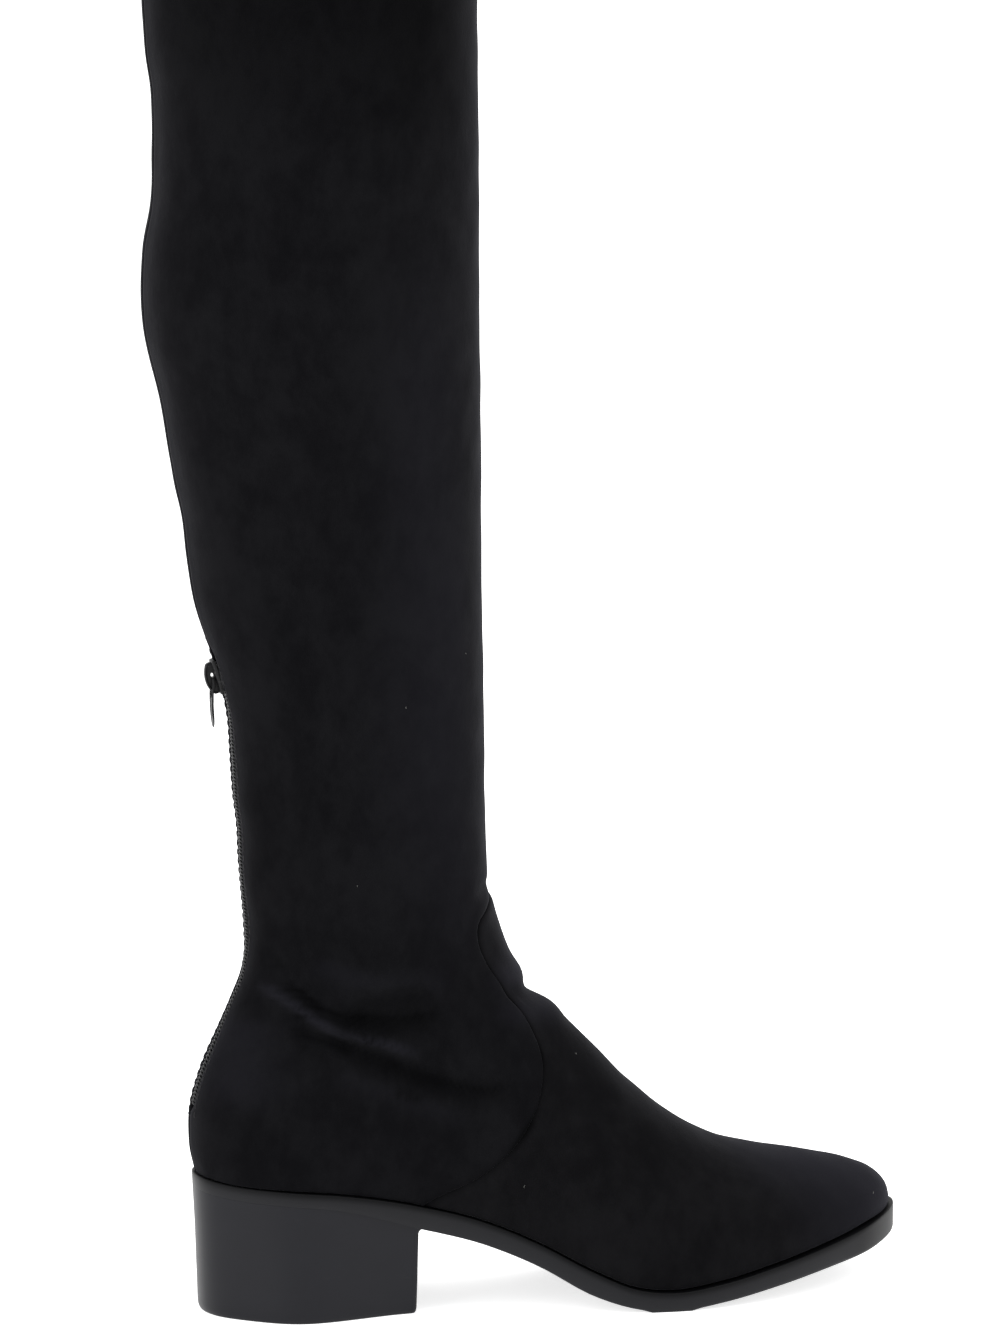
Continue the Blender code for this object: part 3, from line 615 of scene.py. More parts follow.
def slab(name, rings, finish, sharp=30, painted_light_and_tone=None):
    """A solid from a stack of rings, closed at both ends by bars from the lateral to the medial side."""
    count = len(rings[0])
    faces = grid_faces(len(rings), count, 0, True)
    for start in (0, (len(rings) - 1) * count):
        for k in range((count - 1) // 2 + 1):
            bar = dict.fromkeys([k, k + 1, count - k - 1, (count - k) % count])
            if len(bar) > 2:
                faces.append([start + i for i in bar])
    return mesh_object(name, np.concatenate(rings), faces, finish, sharp, painted_light_and_tone=painted_light_and_tone)


def capped(rings):
    """Points and faces of a solid from a stack of rings, with one face across each end."""
    rings = np.asarray(rings, float)
    rows, count = rings.shape[:2]
    faces = grid_faces(rows, count, 0, True)
    faces += [list(range(count)), [(rows - 1) * count + k for k in range(count)]]
    return rings.reshape(-1, 3), faces


def looped(rings):
    """Points and faces of a solid whose last ring is joined to its first, as in a tyre."""
    size = len(rings) * len(rings[0])
    faces = grid_faces(len(rings) + 1, len(rings[0]), 0, True)
    return np.concatenate(rings), [[i % size for i in face] for face in faces]


def tube(path, radius, sides=6):
    """Points and faces of a round tube along a path, its two ends drawn in to nearly nothing."""
    path = np.asarray(path, float)
    ahead = unit(np.gradient(path, axis=0))
    pole = np.array([0.0, 0.0, 1.0]) if abs(ahead[0][2]) < 0.8 else np.array([0.0, 1.0, 0.0])
    side = unit(np.cross(ahead, pole))
    other = np.cross(ahead, side)
    turn = 2 * math.pi * np.arange(sides) / sides
    size = np.full(len(path), float(radius))
    size[[0, -1]] *= 0.35
    return capped(path[:, None] + size[:, None, None] * (
        np.cos(turn)[None, :, None] * side[:, None] + np.sin(turn)[None, :, None] * other[:, None]
    ))


def gather(name, parts, finish, sharp=None):
    """One object from many (points, faces) parts."""
    points, faces, first = [], [], 0
    for own_points, own_faces in parts:
        points.append(own_points)
        faces += [[first + i for i in face] for face in own_faces]
        first += len(own_points)
    return mesh_object(name, np.concatenate(points), faces, finish, sharp, merge=False)


def ride_on(piece, body, slot, *nodes):
    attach(piece, body)
    if nodes:
        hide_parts(*nodes)
    return piece


# ---------------------------------------------------------------- finishes


def effect(name, label, value, *made):
    """A node group that takes Place and one number, and gives floats: its tree, both inputs and its end."""
    tree = bpy.data.node_groups.new(name, "ShaderNodeTree")
    tree.interface.new_socket("Place", in_out="INPUT", socket_type="NodeSocketVector")
    tree.interface.new_socket(label, in_out="INPUT", socket_type="NodeSocketFloat").default_value = value
    for output in made:
        tree.interface.new_socket(output, in_out="OUTPUT", socket_type="NodeSocketFloat")
    start = tree.nodes.new("NodeGroupInput")
    return tree, start.outputs["Place"], start.outputs[label], tree.nodes.new("NodeGroupOutput")


def set_inputs(tree, node, **inputs):
    """Sets inputs to values, or links them to outputs. i0 is the first input, and _ stands for a space."""
    for key, value in inputs.items():
        socket = node.inputs[int(key[1:]) if key[1:].isdigit() else key.replace("_", " ")]
        if isinstance(value, bpy.types.NodeSocket):
            tree.links.new(value, socket)
        else:
            socket.default_value = value


def add(tree, kind, settings=None, **inputs):
    """A node with its settings and inputs."""
    node = tree.nodes.new(kind)
    for key, value in (settings or {}).items():
        setattr(node, key, value)
    set_inputs(tree, node, **inputs)
    return node


def math_node(tree, operation, a, b):
    return add(tree, "ShaderNodeMath", {"operation": operation}, i0=a, i1=b).outputs[0]


def times(tree, value, factor):
    return math_node(tree, "MULTIPLY", value, factor)


def plus(tree, a, b):
    return math_node(tree, "ADD", a, b)


def between(tree, share, low, high, stop=1.0):
    """A value that runs from low to high as share runs from 0 to stop."""
    return add(tree, "ShaderNodeMapRange", i0=share, i1=0.0, i2=stop, i3=low, i4=high).outputs[0]


def smooth_rise(tree, value, low, high):
    """0 below low, 1 above high, and a smooth rise between them."""
    settings = {"interpolation_type": "SMOOTHSTEP"}
    return add(tree, "ShaderNodeMapRange", settings, i0=value, i1=low, i2=high).outputs[0]


def mixed(tree, share, first, second):
    """A colour from first, a constant or another colour's output, to second, a constant."""
    if not isinstance(first, bpy.types.NodeSocket):
        first = (*first, 1)
    node = add(tree, "ShaderNodeMix", {"data_type": "RGBA"}, Factor=share, i6=first, i7=(*second, 1))
    return node.outputs[2]


def stretched(tree, place, scale):
    """Coordinates in millimetres, times a scale along each axis."""
    scale = tuple(s / MM for s in scale)
    return add(tree, "ShaderNodeVectorMath", {"operation": "MULTIPLY"}, i0=place, i1=scale).outputs[0]


def noise(tree, place, stretch, scale=1.0, detail=3.0, roughness=0.55, distortion=0.0):
    return add(
        tree, "ShaderNodeTexNoise", {"normalize": True}, Vector=stretched(tree, place, stretch), Scale=scale,
        Detail=detail, Roughness=roughness, Distortion=distortion,
    ).outputs[0]


def make_nap():
    """Brushed nap: cloudy patches where it lies differently, short fibres, and the height of both."""
    tree, place, size, end = effect("brushed_nap", "Fibre Size", 0.45, "Cloud", "Fibre", "Height")
    broad = noise(tree, place, (1 / 34, 1 / 34, 1 / 46), detail=4, roughness=0.6, distortion=0.4)
    small = noise(tree, place, (1 / 7, 1 / 7, 1 / 10), detail=4, roughness=0.65)
    cloud = smooth_rise(tree, plus(tree, times(tree, broad, 0.6), times(tree, small, 0.4)), 0.36, 0.64)
    inverse = math_node(tree, "DIVIDE", 1.0, size)
    fibre = noise(tree, place, (1.0, 1.0, 0.45), inverse, detail=2, roughness=0.7)
    tufts = noise(tree, place, (1 / 1.9, 1 / 1.9, 1 / 2.6), detail=3, roughness=0.6)
    height = plus(tree, times(tree, fibre, 0.5), times(tree, tufts, 0.5))
    set_inputs(tree, end, Cloud=cloud, Fibre=fibre, Height=height)
    return tree


def make_grain():
    """Fine moulded skin of the sole and heel: a tone that drifts, and a shallow pebble."""
    tree, place, size, end = effect("moulded_grain", "Pebble Size", 0.6, "Tone", "Height")
    tone = noise(tree, place, (1 / 20, 1 / 20, 1 / 12), detail=5, roughness=0.6)
    pebble = add(
        tree, "ShaderNodeTexVoronoi", {"feature": "SMOOTH_F1"}, Vector=stretched(tree, place, (1, 1, 1)),
        Scale=math_node(tree, "DIVIDE", 1.0, size), Smoothness=0.6,
    )
    set_inputs(tree, end, Tone=tone, Height=pebble.outputs["Distance"])
    return tree


def make_rub():
    """Scattered rubs and fine scratches as a mask from 0 to 1; Amount widens them."""
    tree, place, amount, end = effect("rubs_and_scratches", "Amount", 0.3, "Mask")
    patch = noise(tree, place, (1 / 9, 1 / 9, 1 / 5), detail=6, roughness=0.72, distortion=0.6)
    lines = noise(tree, place, (0.09, 0.09, 1.9), detail=3, roughness=0.6, distortion=0.2)
    low = math_node(tree, "SUBTRACT", 0.44, times(tree, amount, 0.22))
    mask = smooth_rise(tree, times(tree, patch, lines), low, plus(tree, low, 0.10))
    set_inputs(tree, end, Mask=mask)
    return tree


def make_weave():
    """A plain close weave: the height of its threads, ribs one way and picks the other."""
    tree, place, ribs, end = effect("close_weave", "Ribs", 0.55, "Height")
    size = math_node(tree, "DIVIDE", 0.16, ribs)
    place = stretched(tree, place, (1, 1, 1))
    waves = [
        add(
            tree, "ShaderNodeTexWave", {"bands_direction": direction, "wave_profile": "SIN"},
            Vector=place, Scale=size, Distortion=0.3, Detail=1.0,
        ).outputs["Fac"]
        for direction in "ZY"
    ]
    set_inputs(tree, end, Height=times(tree, *waves))
    return tree


NAP, GRAIN, RUB, WEAVE = make_nap(), make_grain(), make_rub(), make_weave()


def group_outputs(tree, group, place, **inputs):
    return add(tree, "ShaderNodeGroup", {"node_tree": group}, Place=place, **inputs).outputs


def painted_light_and_tone_attribute(tree):
    """The value that a mesh carries at each point: on the suede painted shade and highlight with the nap's
    tone, on the sole's edge painted shade.
    """
    return add(tree, "ShaderNodeAttribute", {"attribute_name": "painted_light_and_tone"}).outputs["Fac"]


def bump(tree, height, depth, strength=1.0):
    """A normal from a height of 0 to 1 that stands for depth in millimetres."""
    return add(tree, "ShaderNodeBump", Height=height, Distance=depth * MM, Strength=strength).outputs[0]


def finish(name, **shader):
    """A material with its Principled shader's constants set; returns (material, tree, shader, place)."""
    made = bpy.data.materials.new(name)
    made.use_nodes = True
    tree = made.node_tree
    principled = tree.nodes["Principled BSDF"]
    set_inputs(tree, principled, **shader)
    return made, tree, principled, tree.nodes.new("ShaderNodeTexCoord").outputs["Object"]


PAINTED_SHADE = (0.0001, 0.0001, 0.0001)  # colours of painted shade, in creases, in shaded places and on the sole's top edge, and of painted highlight with paler nap
PALE_NAP_AND_PAINTED_HIGHLIGHT = (0.0092, 0.0090, 0.0118)
RUBBED = (0.016, 0.016, 0.017)  # colour of a moulding where it is rubbed


def suede_finish(name, dark, light, fibre_size):
    """Black microsuede: a very dark, fibrous nap that lights up only where it is seen edge on; its colour
    carries painted shade and highlight.
    """
    made, tree, shader, place = finish(
        name, Specular_IOR_Level=0.027, Sheen_Weight=0.058, Sheen_Roughness=0.36,
        Sheen_Tint=(0.84, 0.84, 0.95, 1),
    )
    nap = group_outputs(tree, NAP, place, Fibre_Size=fibre_size)
    tone = plus(tree, times(tree, nap["Cloud"], 0.62), times(tree, nap["Fibre"], 0.38))
    colour = mixed(tree, tone, dark, light)
    painted_light_and_tone = painted_light_and_tone_attribute(tree)
    # painted shade and painted highlight mixed into the colour
    for way, end in ((-1.0, PAINTED_SHADE), (1.0, PALE_NAP_AND_PAINTED_HIGHLIGHT)):
        colour = mixed(tree, between(tree, painted_light_and_tone, 0.0, 0.85, stop=way), colour, end)
    rough = between(tree, nap["Cloud"], 0.98, 0.84)
    normal = bump(tree, nap["Height"], 0.16, 0.75)
    set_inputs(tree, shader, Base_Color=colour, Roughness=rough, Normal=normal)
    return made


def moulded_finish(name, dark, light, roughness, pebble, depth, rubs, dull_edge_and_painted_shade=False):
    """Satin black moulding with a faint pebble and rubs that are a little paler and duller."""
    made, tree, shader, place = finish(name, Specular_IOR_Level=0.172)
    grain = group_outputs(tree, GRAIN, place, Pebble_Size=pebble)
    mask = group_outputs(tree, RUB, place, Amount=rubs)["Mask"]
    colour = mixed(tree, times(tree, mask, 0.5), mixed(tree, grain["Tone"], dark, light), RUBBED)
    rough = plus(tree, between(tree, grain["Tone"], *roughness), times(tree, mask, 0.16))
    # a little more roughness, and painted shade: a darker colour and metal that with the black takes the
    # reflection off
    if dull_edge_and_painted_shade:
        dullness_and_painted_shade = painted_light_and_tone_attribute(tree)
        rough = plus(tree, rough, times(tree, dullness_and_painted_shade, 0.1))
        colour = mixed(tree, times(tree, dullness_and_painted_shade, 0.8), colour, PAINTED_SHADE)
        set_inputs(tree, shader, Metallic=times(tree, dullness_and_painted_shade, 0.54))  # painted shade: with the black colour, metal takes the reflection off
    normal = bump(tree, grain["Height"], depth, 0.6)
    set_inputs(tree, shader, Base_Color=colour, Roughness=rough, Normal=normal)
    return made


def cloth_finish(name, dark, light, ribs, depth):
    """Woven or knitted cloth, or thread, whose tone drifts a little."""
    made, tree, shader, place = finish(name, Roughness=0.85, Specular_IOR_Level=0.2, Sheen_Weight=0.1)
    weave = group_outputs(tree, WEAVE, place, Ribs=ribs)["Height"]
    cloud = group_outputs(tree, NAP, place)["Cloud"]
    colour = mixed(tree, plus(tree, times(tree, weave, 0.7), times(tree, cloud, 0.3)), dark, light)
    set_inputs(tree, shader, Base_Color=colour, Normal=bump(tree, weave, depth, 0.8))
    return made


def lacquer_finish():
    """Black lacquer over the zip's metal, rubbed a little on its faces."""
    made, tree, shader, place = finish(
        "zip_lacquer", Specular_IOR_Level=0.14, Coat_Weight=0.03, Coat_Roughness=0.3
    )
    mask = group_outputs(tree, RUB, place, Amount=0.55)["Mask"]
    grain = group_outputs(tree, GRAIN, place, Pebble_Size=0.25)
    set_inputs(
        tree, shader, Base_Color=mixed(tree, mask, (0.006, 0.006, 0.0065), (0.035, 0.035, 0.037)),
        Roughness=between(tree, grain["Tone"], 0.38, 0.50), Metallic=between(tree, mask, 0.1, 0.6),
        Normal=bump(tree, grain["Height"], 0.012, 0.5),
    )
    return made


SUEDE = suede_finish("black_microsuede", (0.0019, 0.00185, 0.0023), (0.0043, 0.0043, 0.0050), 0.42)
VAMP_SUEDE = suede_finish("black_microsuede_vamp", (0.0021, 0.00205, 0.0024), (0.0048, 0.0047, 0.0053), 0.38)
THREAD = cloth_finish("sewing_thread", (0.005, 0.005, 0.0055), (0.018, 0.018, 0.019), 0.28, 0.05)
LINING = cloth_finish("lining_knit", (0.009, 0.009, 0.0098), (0.018, 0.018, 0.0196), 0.8, 0.05)
SOCK = moulded_finish(
    "sock_leather", (0.010, 0.010, 0.011), (0.022, 0.021, 0.021), (0.5, 0.62), 0.9, 0.06, 0.2
)
SOLE = moulded_finish(
    "sole_rubber", (0.0030, 0.0030, 0.0042), (0.0066, 0.0068, 0.0085), (0.36, 0.48), 0.5, 0.012, 0.30, True
)
HEEL = moulded_finish(
    "heel_moulding", (0.0025, 0.0025, 0.0042), (0.0052, 0.0054, 0.0079), (0.34, 0.46), 0.45, 0.010, 0.35
)
TREAD = moulded_finish(
    "tread_rubber", (0.008, 0.008, 0.0085), (0.018, 0.018, 0.019), (0.55, 0.7), 0.7, 0.04, 0.5
)
TAPE = cloth_finish("zip_tape_weave", (0.004, 0.004, 0.0045), (0.016, 0.016, 0.017), 0.45, 0.08)
NYLON = moulded_finish(
    "zip_nylon", (0.004, 0.004, 0.0045), (0.009, 0.009, 0.010), (0.36, 0.46), 0.3, 0.01, 0.1
)
LACQUER = lacquer_finish()
LINT = finish("lint_fibre", Base_Color=(0.13, 0.13, 0.12, 1), Roughness=0.9)[0]


# ---------------------------------------------------------------- the upper

EDGE = 1.0  # how deep a rolled edge goes
EDGE_ROUND = 1.3  # how wide its rounding is
EDGE_STEPS = (0.0, 0.10, 0.30, 0.62, 1.0, 1.45, 2.1, 3.0)
BACK_STEPS = (0.0, 0.1, 0.3, 0.62, 1.0, 1.45, 2.1, 3.0, 4.3, 6.0)
FEATHER_STEPS = (0.0, 0.35, 0.9, 1.7, 2.8)
COLLAR_STEPS = (0.0, 0.12, 0.35, 0.7, 1.1, 1.8)
FEATHER_ROUND = 3.4
SUEDE_WALL = 1.05
LINING_WALL = (1.65, 2.2)
HEM_WALL = 2.05
VAMP_PROUD = 0.12
HALF_SLOT = 3.3
HALF_SEAM = 0.04
MEAN_BACK = 45.0  # the back's mean half width, which turns millimetres into turn
LOW_SHAFT = 1.2  # level up to which the shaft's columns are spaced from the vamp's edge
SEAM_COLUMNS = 64
BAND = 3.2  # how far the columns run square to the vamp's edge
NET_ROWS = 60
NET_ROUNDS = 2500
SEAM_EDGE = 0.5  # how deep and how wide the vamp's edge is rolled
SEAM_ROUND = 1.5
INNER_GAP = 0.04  # least thickness of the suede where its edges are rolled
BESIDE_SLOT = 2.6  # how far the stitches lie from the zip's slot, and from the hem's lower edge
ABOVE_HEM = 3.0


def spread(length, first, last, count):
    """Distances from 0 to length: set steps at both ends, even ones between, shrunk where it is short."""
    first, last = np.array(first), np.array(last)
    scale = min(1.0, length / max(2 * (first[-1] + last[-1]), 1e-6))
    head, tail = first * scale, length - last[::-1] * scale
    return np.concatenate([head, np.linspace(head[-1], tail[0], count + 2)[1:-1], tail])


def seam_place(height):
    """Level and turn of the places where the vamp's edge has these heights."""
    station = SEAM(height)
    low, high = np.zeros_like(height), np.full_like(height, 1.02)
    for _ in range(40):
        level = (low + high) / 2
        back, front = side_view(level, 0.0)[0], side_view(level, 1.0)[0]
        share = np.clip((station - back) / (front - back), 0, 1)
        over = side_view(level, share)[1] > height
        low, high = np.where(over, low, level), np.where(over, level, high)
    return level, np.arccos(1 - 2 * share)


def halved(low, high, inside):
    """The height where inside stops being true, by halving."""
    for _ in range(40):
        middle = (low + high) / 2
        low, high = (middle, high) if inside(middle) else (low, middle)
    return low


def seam_line():
    """Level and turn along the lateral half of the vamp's edge, at even steps in space."""
    foot = halved(30.0, 60.0, lambda height: height < feather_height(SEAM(height)))
    apex = halved(135.0, 152.0, lambda height: SEAM(height) < front_station(height))
    level, turn = seam_place(foot + (apex - foot) * (1 - np.linspace(1, 0, 1500) ** 2))
    level[0], turn[-1] = 0.0, math.pi
    even, reach = even_steps(level, turn, SEAM_COLUMNS)
    return np.interp(even, reach, level), np.interp(even, reach, turn)


def even_steps(level, turn, count):
    """Even distances along a line of places, and the distances of its own points."""
    reach = lengths_along(skin(level, turn))
    return np.linspace(0, reach[-1], count), reach


SEAM_LEVEL, SEAM_TURN = seam_line()
SEAM_START = float(SEAM_TURN[0])
SEAM_ROUTE = np.concatenate([skin(SEAM_LEVEL, SEAM_TURN), skin(SEAM_LEVEL, -SEAM_TURN)[-2::-1]])


def seam_ways():
    """Steps in turn and level that go one millimetre squarely across the edge, away from the vamp."""
    small = 0.002
    here = skin(SEAM_LEVEL, SEAM_TURN)
    per_level = (skin(SEAM_LEVEL + small, SEAM_TURN) - here) / small
    per_turn = (skin(SEAM_LEVEL, SEAM_TURN + small) - here) / small
    per_turn[-1] = (here[-1] - skin(SEAM_LEVEL[-1], SEAM_TURN[-1] - small)) / small
    run = np.gradient(here, axis=0)
    across = np.cross(np.cross(per_turn, per_level), run)
    across = unit(across)
    ways = [
        np.linalg.lstsq(np.stack([u, v], 1), way, rcond=None)[0]
        for u, v, way in zip(per_turn, per_level, across)
    ]
    ways[-1][0] = 0.0
    return np.array(ways)


def net_from_seam(band, end_level, end_turn):
    """Lines of places from the vamp's edge to another level, one from each of the edge's points.

    They cross a narrow band squarely. Beyond it they are the threads of a net that is drawn smooth: each knot
    moves until its neighbours hold it evenly, so no two threads cross.
    """
    scale = np.array([MEAN_BACK, BOOT_HEIGHT / 4])  # millimetres to one unit of turn and of level
    edge = np.stack([SEAM_TURN, SEAM_LEVEL], -1) * scale
    end = np.stack([end_turn, np.full(SEAM_COLUMNS, end_level)], -1) * scale
    near = edge + band * scale
    net = near + (end - near) * np.linspace(0, 1, NET_ROWS)[:, None, None] ** 1.5
    for _ in range(NET_ROUNDS):
        east, west, north, south = net[1:-1, 2:], net[1:-1, :-2], net[2:, 1:-1], net[:-2, 1:-1]
        run, rise = (east - west) / 2, (north - south) / 2
        corners = (net[2:, 2:] - net[2:, :-2] - net[:-2, 2:] + net[:-2, :-2]) / 4
        a, b, c = ((u * v).sum(-1, keepdims=True) for u, v in ((rise, rise), (run, rise), (run, run)))
        net[1:-1, 1:-1] = (a * (east + west) + c * (north + south) - 2 * b * corners) / (2 * (a + c) + 1e-12)
    net = np.concatenate([edge[None], net]) / scale
    return net[..., 1], net[..., 0]


def seam_gap(points):
    """Distance of points from the vamp's edge, in space; far away from it just a large number."""
    flat = points.reshape(-1, 3)
    gap = np.full(len(flat), 50.0)
    near = (flat[:, 2] < 175) & (flat[:, 0] > 45)
    gap[near] = path_distance(flat[near], SEAM_ROUTE)[0]
    return gap.reshape(points.shape[:-1])


def paced(level, turn, distances):
    """The same line of places with its points at distances(length) along it, and those distances."""
    reach = lengths_along(skin(level, turn))
    wanted = distances(reach[-1])
    return np.interp(wanted, reach, level), np.interp(wanted, reach, turn), wanted


def back_half_gap(height):
    """Half of the opening up the middle of the back: a closed seam, with the zip's slot in it."""
    slot = ease(ZIP_FOOT - 3, ZIP_FOOT + 1, height) * ease(ZIP_HEAD + 3, ZIP_HEAD - 1, height)
    return HALF_SEAM + (HALF_SLOT - HALF_SEAM) * slot


def back_turn(level):
    """The same half opening as a turn, and the back's half width that it is measured by."""
    width = np.linalg.norm(skin(level, 0.01) - skin(level, 0.0), axis=-1) / 0.01
    return back_half_gap(skin(level, 0.0)[..., 2]) / width, width


def there_and_back(count):
    """Columns of the lateral side from the back to the front, then those of the medial side back again."""
    return [(k, 1) for k in range(count)] + [(k, -1) for k in range(count - 2, -1, -1)]


def puff(distance, height, reach=2.6, width=1.7):
    """The slight swelling that suede has beside a sewn edge."""
    return height * bell(distance, reach, width)


def surface(level, turn):
    """The smooth outside, the directions out of it, and the height of the suede's relief over it."""
    smooth = skin(level, turn)
    return smooth, skin_normal(level, turn), relief(smooth, turn)


def shells(smooth, normal, *heights):
    """Grids of points at heights over the smooth outside."""
    return [smooth + height[..., None] * normal for height in heights]


def on_suede(level, turn, lift):
    """Points a lift above the suede, and the directions out of it."""
    smooth, normal, soft = surface(level, turn)
    return smooth + (soft + lift)[..., None] * normal, normal


def make_shaft():
    """The shaft with the heel part: columns from the feather edge and the vamp's edge up to the collar."""
    near = np.array(BACK_STEPS) / MEAN_BACK
    plain = np.concatenate([near, np.linspace(near[-1], SEAM_START, 24)[1:-1]])
    front = np.linspace(SEAM_START, math.pi, SEAM_COLUMNS)
    turns = np.concatenate([plain, front])
    square = ease(0, 0.09, np.linspace(0, 1, SEAM_COLUMNS))[:, None]
    straight_up = np.array([0.0, 1 / MEAN_BACK / 2])
    band = BAND * (square * seam_ways() + (1 - square) * straight_up)
    net_level, net_turn = net_from_seam(band, LOW_SHAFT, front)
    level, turn, behind, below = [], [], [], []
    for k, side in there_and_back(len(turns)):
        fade = 1 - ease(0.1, 0.6, turns[k])

        def up(level):
            return turns[k] + fade * back_turn(level)[0]

        on_feather = k < len(plain)
        if on_feather:
            low = np.linspace(0, LOW_SHAFT, 400)
            low_turn = up(low)
        else:
            low, low_turn = net_level[:, k - len(plain)], net_turn[:, k - len(plain)]
        low, low_turn, reach = paced(low, low_turn, lambda length: spread(length, EDGE_STEPS, (0.0,), 84))
        high = np.linspace(LOW_SHAFT, 2, 400)
        high, high_turn, _ = paced(high, up(high), lambda length: spread(length, (0.0,), COLLAR_STEPS, 118))
        own = np.concatenate([low, high[1:]])
        far = np.full_like(own, 50.0)
        level.append(own)
        turn.append(side * np.concatenate([low_turn, high_turn[1:]]))
        behind.append((turns[k] + (fade - 1) * back_turn(own)[0]) * back_turn(own)[1] if fade > 0 else far)
        below.append(np.concatenate([reach, far[len(low):]]) if on_feather else far)
    level, turn, behind, below = (np.array(rows).T for rows in (level, turn, behind, below))
    smooth, normal, soft = surface(level, turn)
    seam = seam_gap(smooth)
    from_collar = np.linalg.norm(smooth - smooth[-1:], axis=-1)
    rolled = EDGE * (2 - quarter_round(behind, EDGE_ROUND) - quarter_round(from_collar, EDGE_ROUND))
    stitched = bell(from_collar, HEM_DEPTH - ABOVE_HEM, 0.9)
    back_puff = puff(behind, 0.22) * ease(1.5, 0.5, back_half_gap(smooth[..., 2]))
    tuck = FEATHER_TUCK * (1 - quarter_round(below, FEATHER_ROUND)) * (1 - 0.75 * at_back(turn))
    rolled = np.minimum(rolled + SEAM_EDGE * (1 - quarter_round(seam, SEAM_ROUND)), EDGE)
    outer = soft - rolled + puff(seam, 0.12) + back_puff - tuck - 0.22 * stitched
    wall = SUEDE_WALL + (HEM_WALL - SUEDE_WALL) * ease(HEM_DEPTH + 0.6, HEM_DEPTH - 0.6, from_collar)
    collar_roll = (wall - EDGE) * (1 - quarter_round(from_collar, EDGE_ROUND))
    inner = np.minimum(soft - wall + collar_roll, outer - INNER_GAP) - tuck * 0.2
    skins = shells(smooth, normal, outer, inner)
    # the suede's colour gets painted shade and highlight from these values
    made = sheet_solid("shaft_suede", *skins, SUEDE, painted_light_and_tone=suede_tone_and_painted_light(smooth, turn, seam))
    return ride_on(made, "boot", "suede", "upper")


def make_vamp():
    """The vamp: columns from its edge down to the feather edge."""
    feather = np.linspace(SEAM_START, math.pi, 2000)
    even, reach = even_steps(0 * feather, feather, SEAM_COLUMNS)
    room = np.minimum(BAND, 0.45 * SEAM_LEVEL * 140)
    net_level, net_turn = net_from_seam(-room[:, None] * seam_ways(), 0.0, np.interp(even, reach, feather))
    level, turn, below = [], [], []
    for k, side in there_and_back(SEAM_COLUMNS):
        own, own_turn, reach = paced(
            net_level[:, k], net_turn[:, k], lambda length: spread(length, EDGE_STEPS, FEATHER_STEPS, 104)
        )
        level.append(own)
        turn.append(side * own_turn)
        below.append(reach[-1] - reach)
    level, turn, below = (np.array(rows).T for rows in (level, turn, below))
    smooth, normal, soft = surface(level, turn)
    seam = seam_gap(smooth)
    edge = 1 - quarter_round(seam, SEAM_ROUND)
    tuck = (FEATHER_TUCK + VAMP_PROUD) * (1 - quarter_round(below, FEATHER_ROUND))
    tuck = tuck * (1 - 0.8 * at_toe(smooth[..., 0]))
    outer = soft + VAMP_PROUD - (SEAM_EDGE + VAMP_PROUD) * edge + puff(seam, 0.12) - tuck
    inner = np.minimum(soft - SUEDE_WALL, outer - INNER_GAP) - tuck * 0.2
    skins = shells(smooth, normal, outer, inner)
    # the suede's colour gets painted shade and highlight from these values
    made = sheet_solid("vamp_suede", *skins, VAMP_SUEDE, painted_light_and_tone=suede_tone_and_painted_light(smooth, turn, seam))
    return ride_on(made, "boot", "suede", "upper")


def make_lining():
    """The lining runs inside the suede from the insole up to the hem."""
    hem = 2 - (HEM_DEPTH - 0.5) / (BOOT_HEIGHT - ANKLE_BACK)
    level = np.concatenate([np.linspace(0.004, 1, 84), np.linspace(1, hem, 96)[1:]])[:, None]
    turn = np.linspace(0, 2 * math.pi, 97)[None, :-1]
    level, turn = np.broadcast_arrays(level, turn)
    smooth, normal, soft = surface(level, turn)
    tuck = FEATHER_TUCK * ease(0.06, 0.0, level)
    skins = shells(smooth, normal, *(soft - tuck - wall for wall in LINING_WALL))
    return ride_on(sheet_solid("leg_lining", *skins, LINING, closed=True), "boot", "sock_lining", "upper")


# ---------------------------------------------------------------- sewing


def stitch(a, b, out, radius=0.2, rise=0.22):
    """One stitch from a to b: a short thread that dips into the suede at both ends."""
    t = np.linspace(0, 1, 6)[:, None]
    lift = rise * np.sin(math.pi * t) ** 0.6 - 0.14
    return tube(a + (b - a) * t + out * lift, radius, sides=5)


def stitch_line(route, outs, length=2.5, pitch=3.3):
    """Stitches along a dense route of points with outward directions."""
    reach = lengths_along(route)
    parts = []
    for k in range(int((reach[-1] - length) / pitch)):
        ends = [k * pitch + 0.4, k * pitch + 0.4 + length]
        a, b = points_at(route, reach, ends)
        parts.append(stitch(a, b, unit(points_at(outs, reach, sum(ends) / 2))))
    return parts


def make_stitching():
    """A row of stitches all round the zip and one round the hem of the collar."""
    level = np.linspace(0.2, 1.4, 1600)
    height = skin(level, 0.0)[:, 2]
    level = level[(height > ZIP_FOOT - 4) & (height < ZIP_HEAD + 4)]
    width = back_turn(level)[1]
    beside = HALF_SLOT + BESIDE_SLOT
    lines = [on_suede(level, side * beside / width, 0.0) for side in (1, -1)]
    lines += [on_suede(level[at], np.linspace(-1, 1, 40) * beside / width[at], 0.1) for at in (0, -1)]
    hem = 2 - (HEM_DEPTH - ABOVE_HEM) / (BOOT_HEIGHT - ANKLE_BACK)
    lines.append(on_suede(hem, np.linspace(0, 2 * math.pi, 1400), -0.2))
    parts = [part for line in lines for part in stitch_line(*line)]
    return ride_on(gather("stitching", parts, THREAD), "boot", "suede")


# ---------------------------------------------------------------- sole, heel and sock


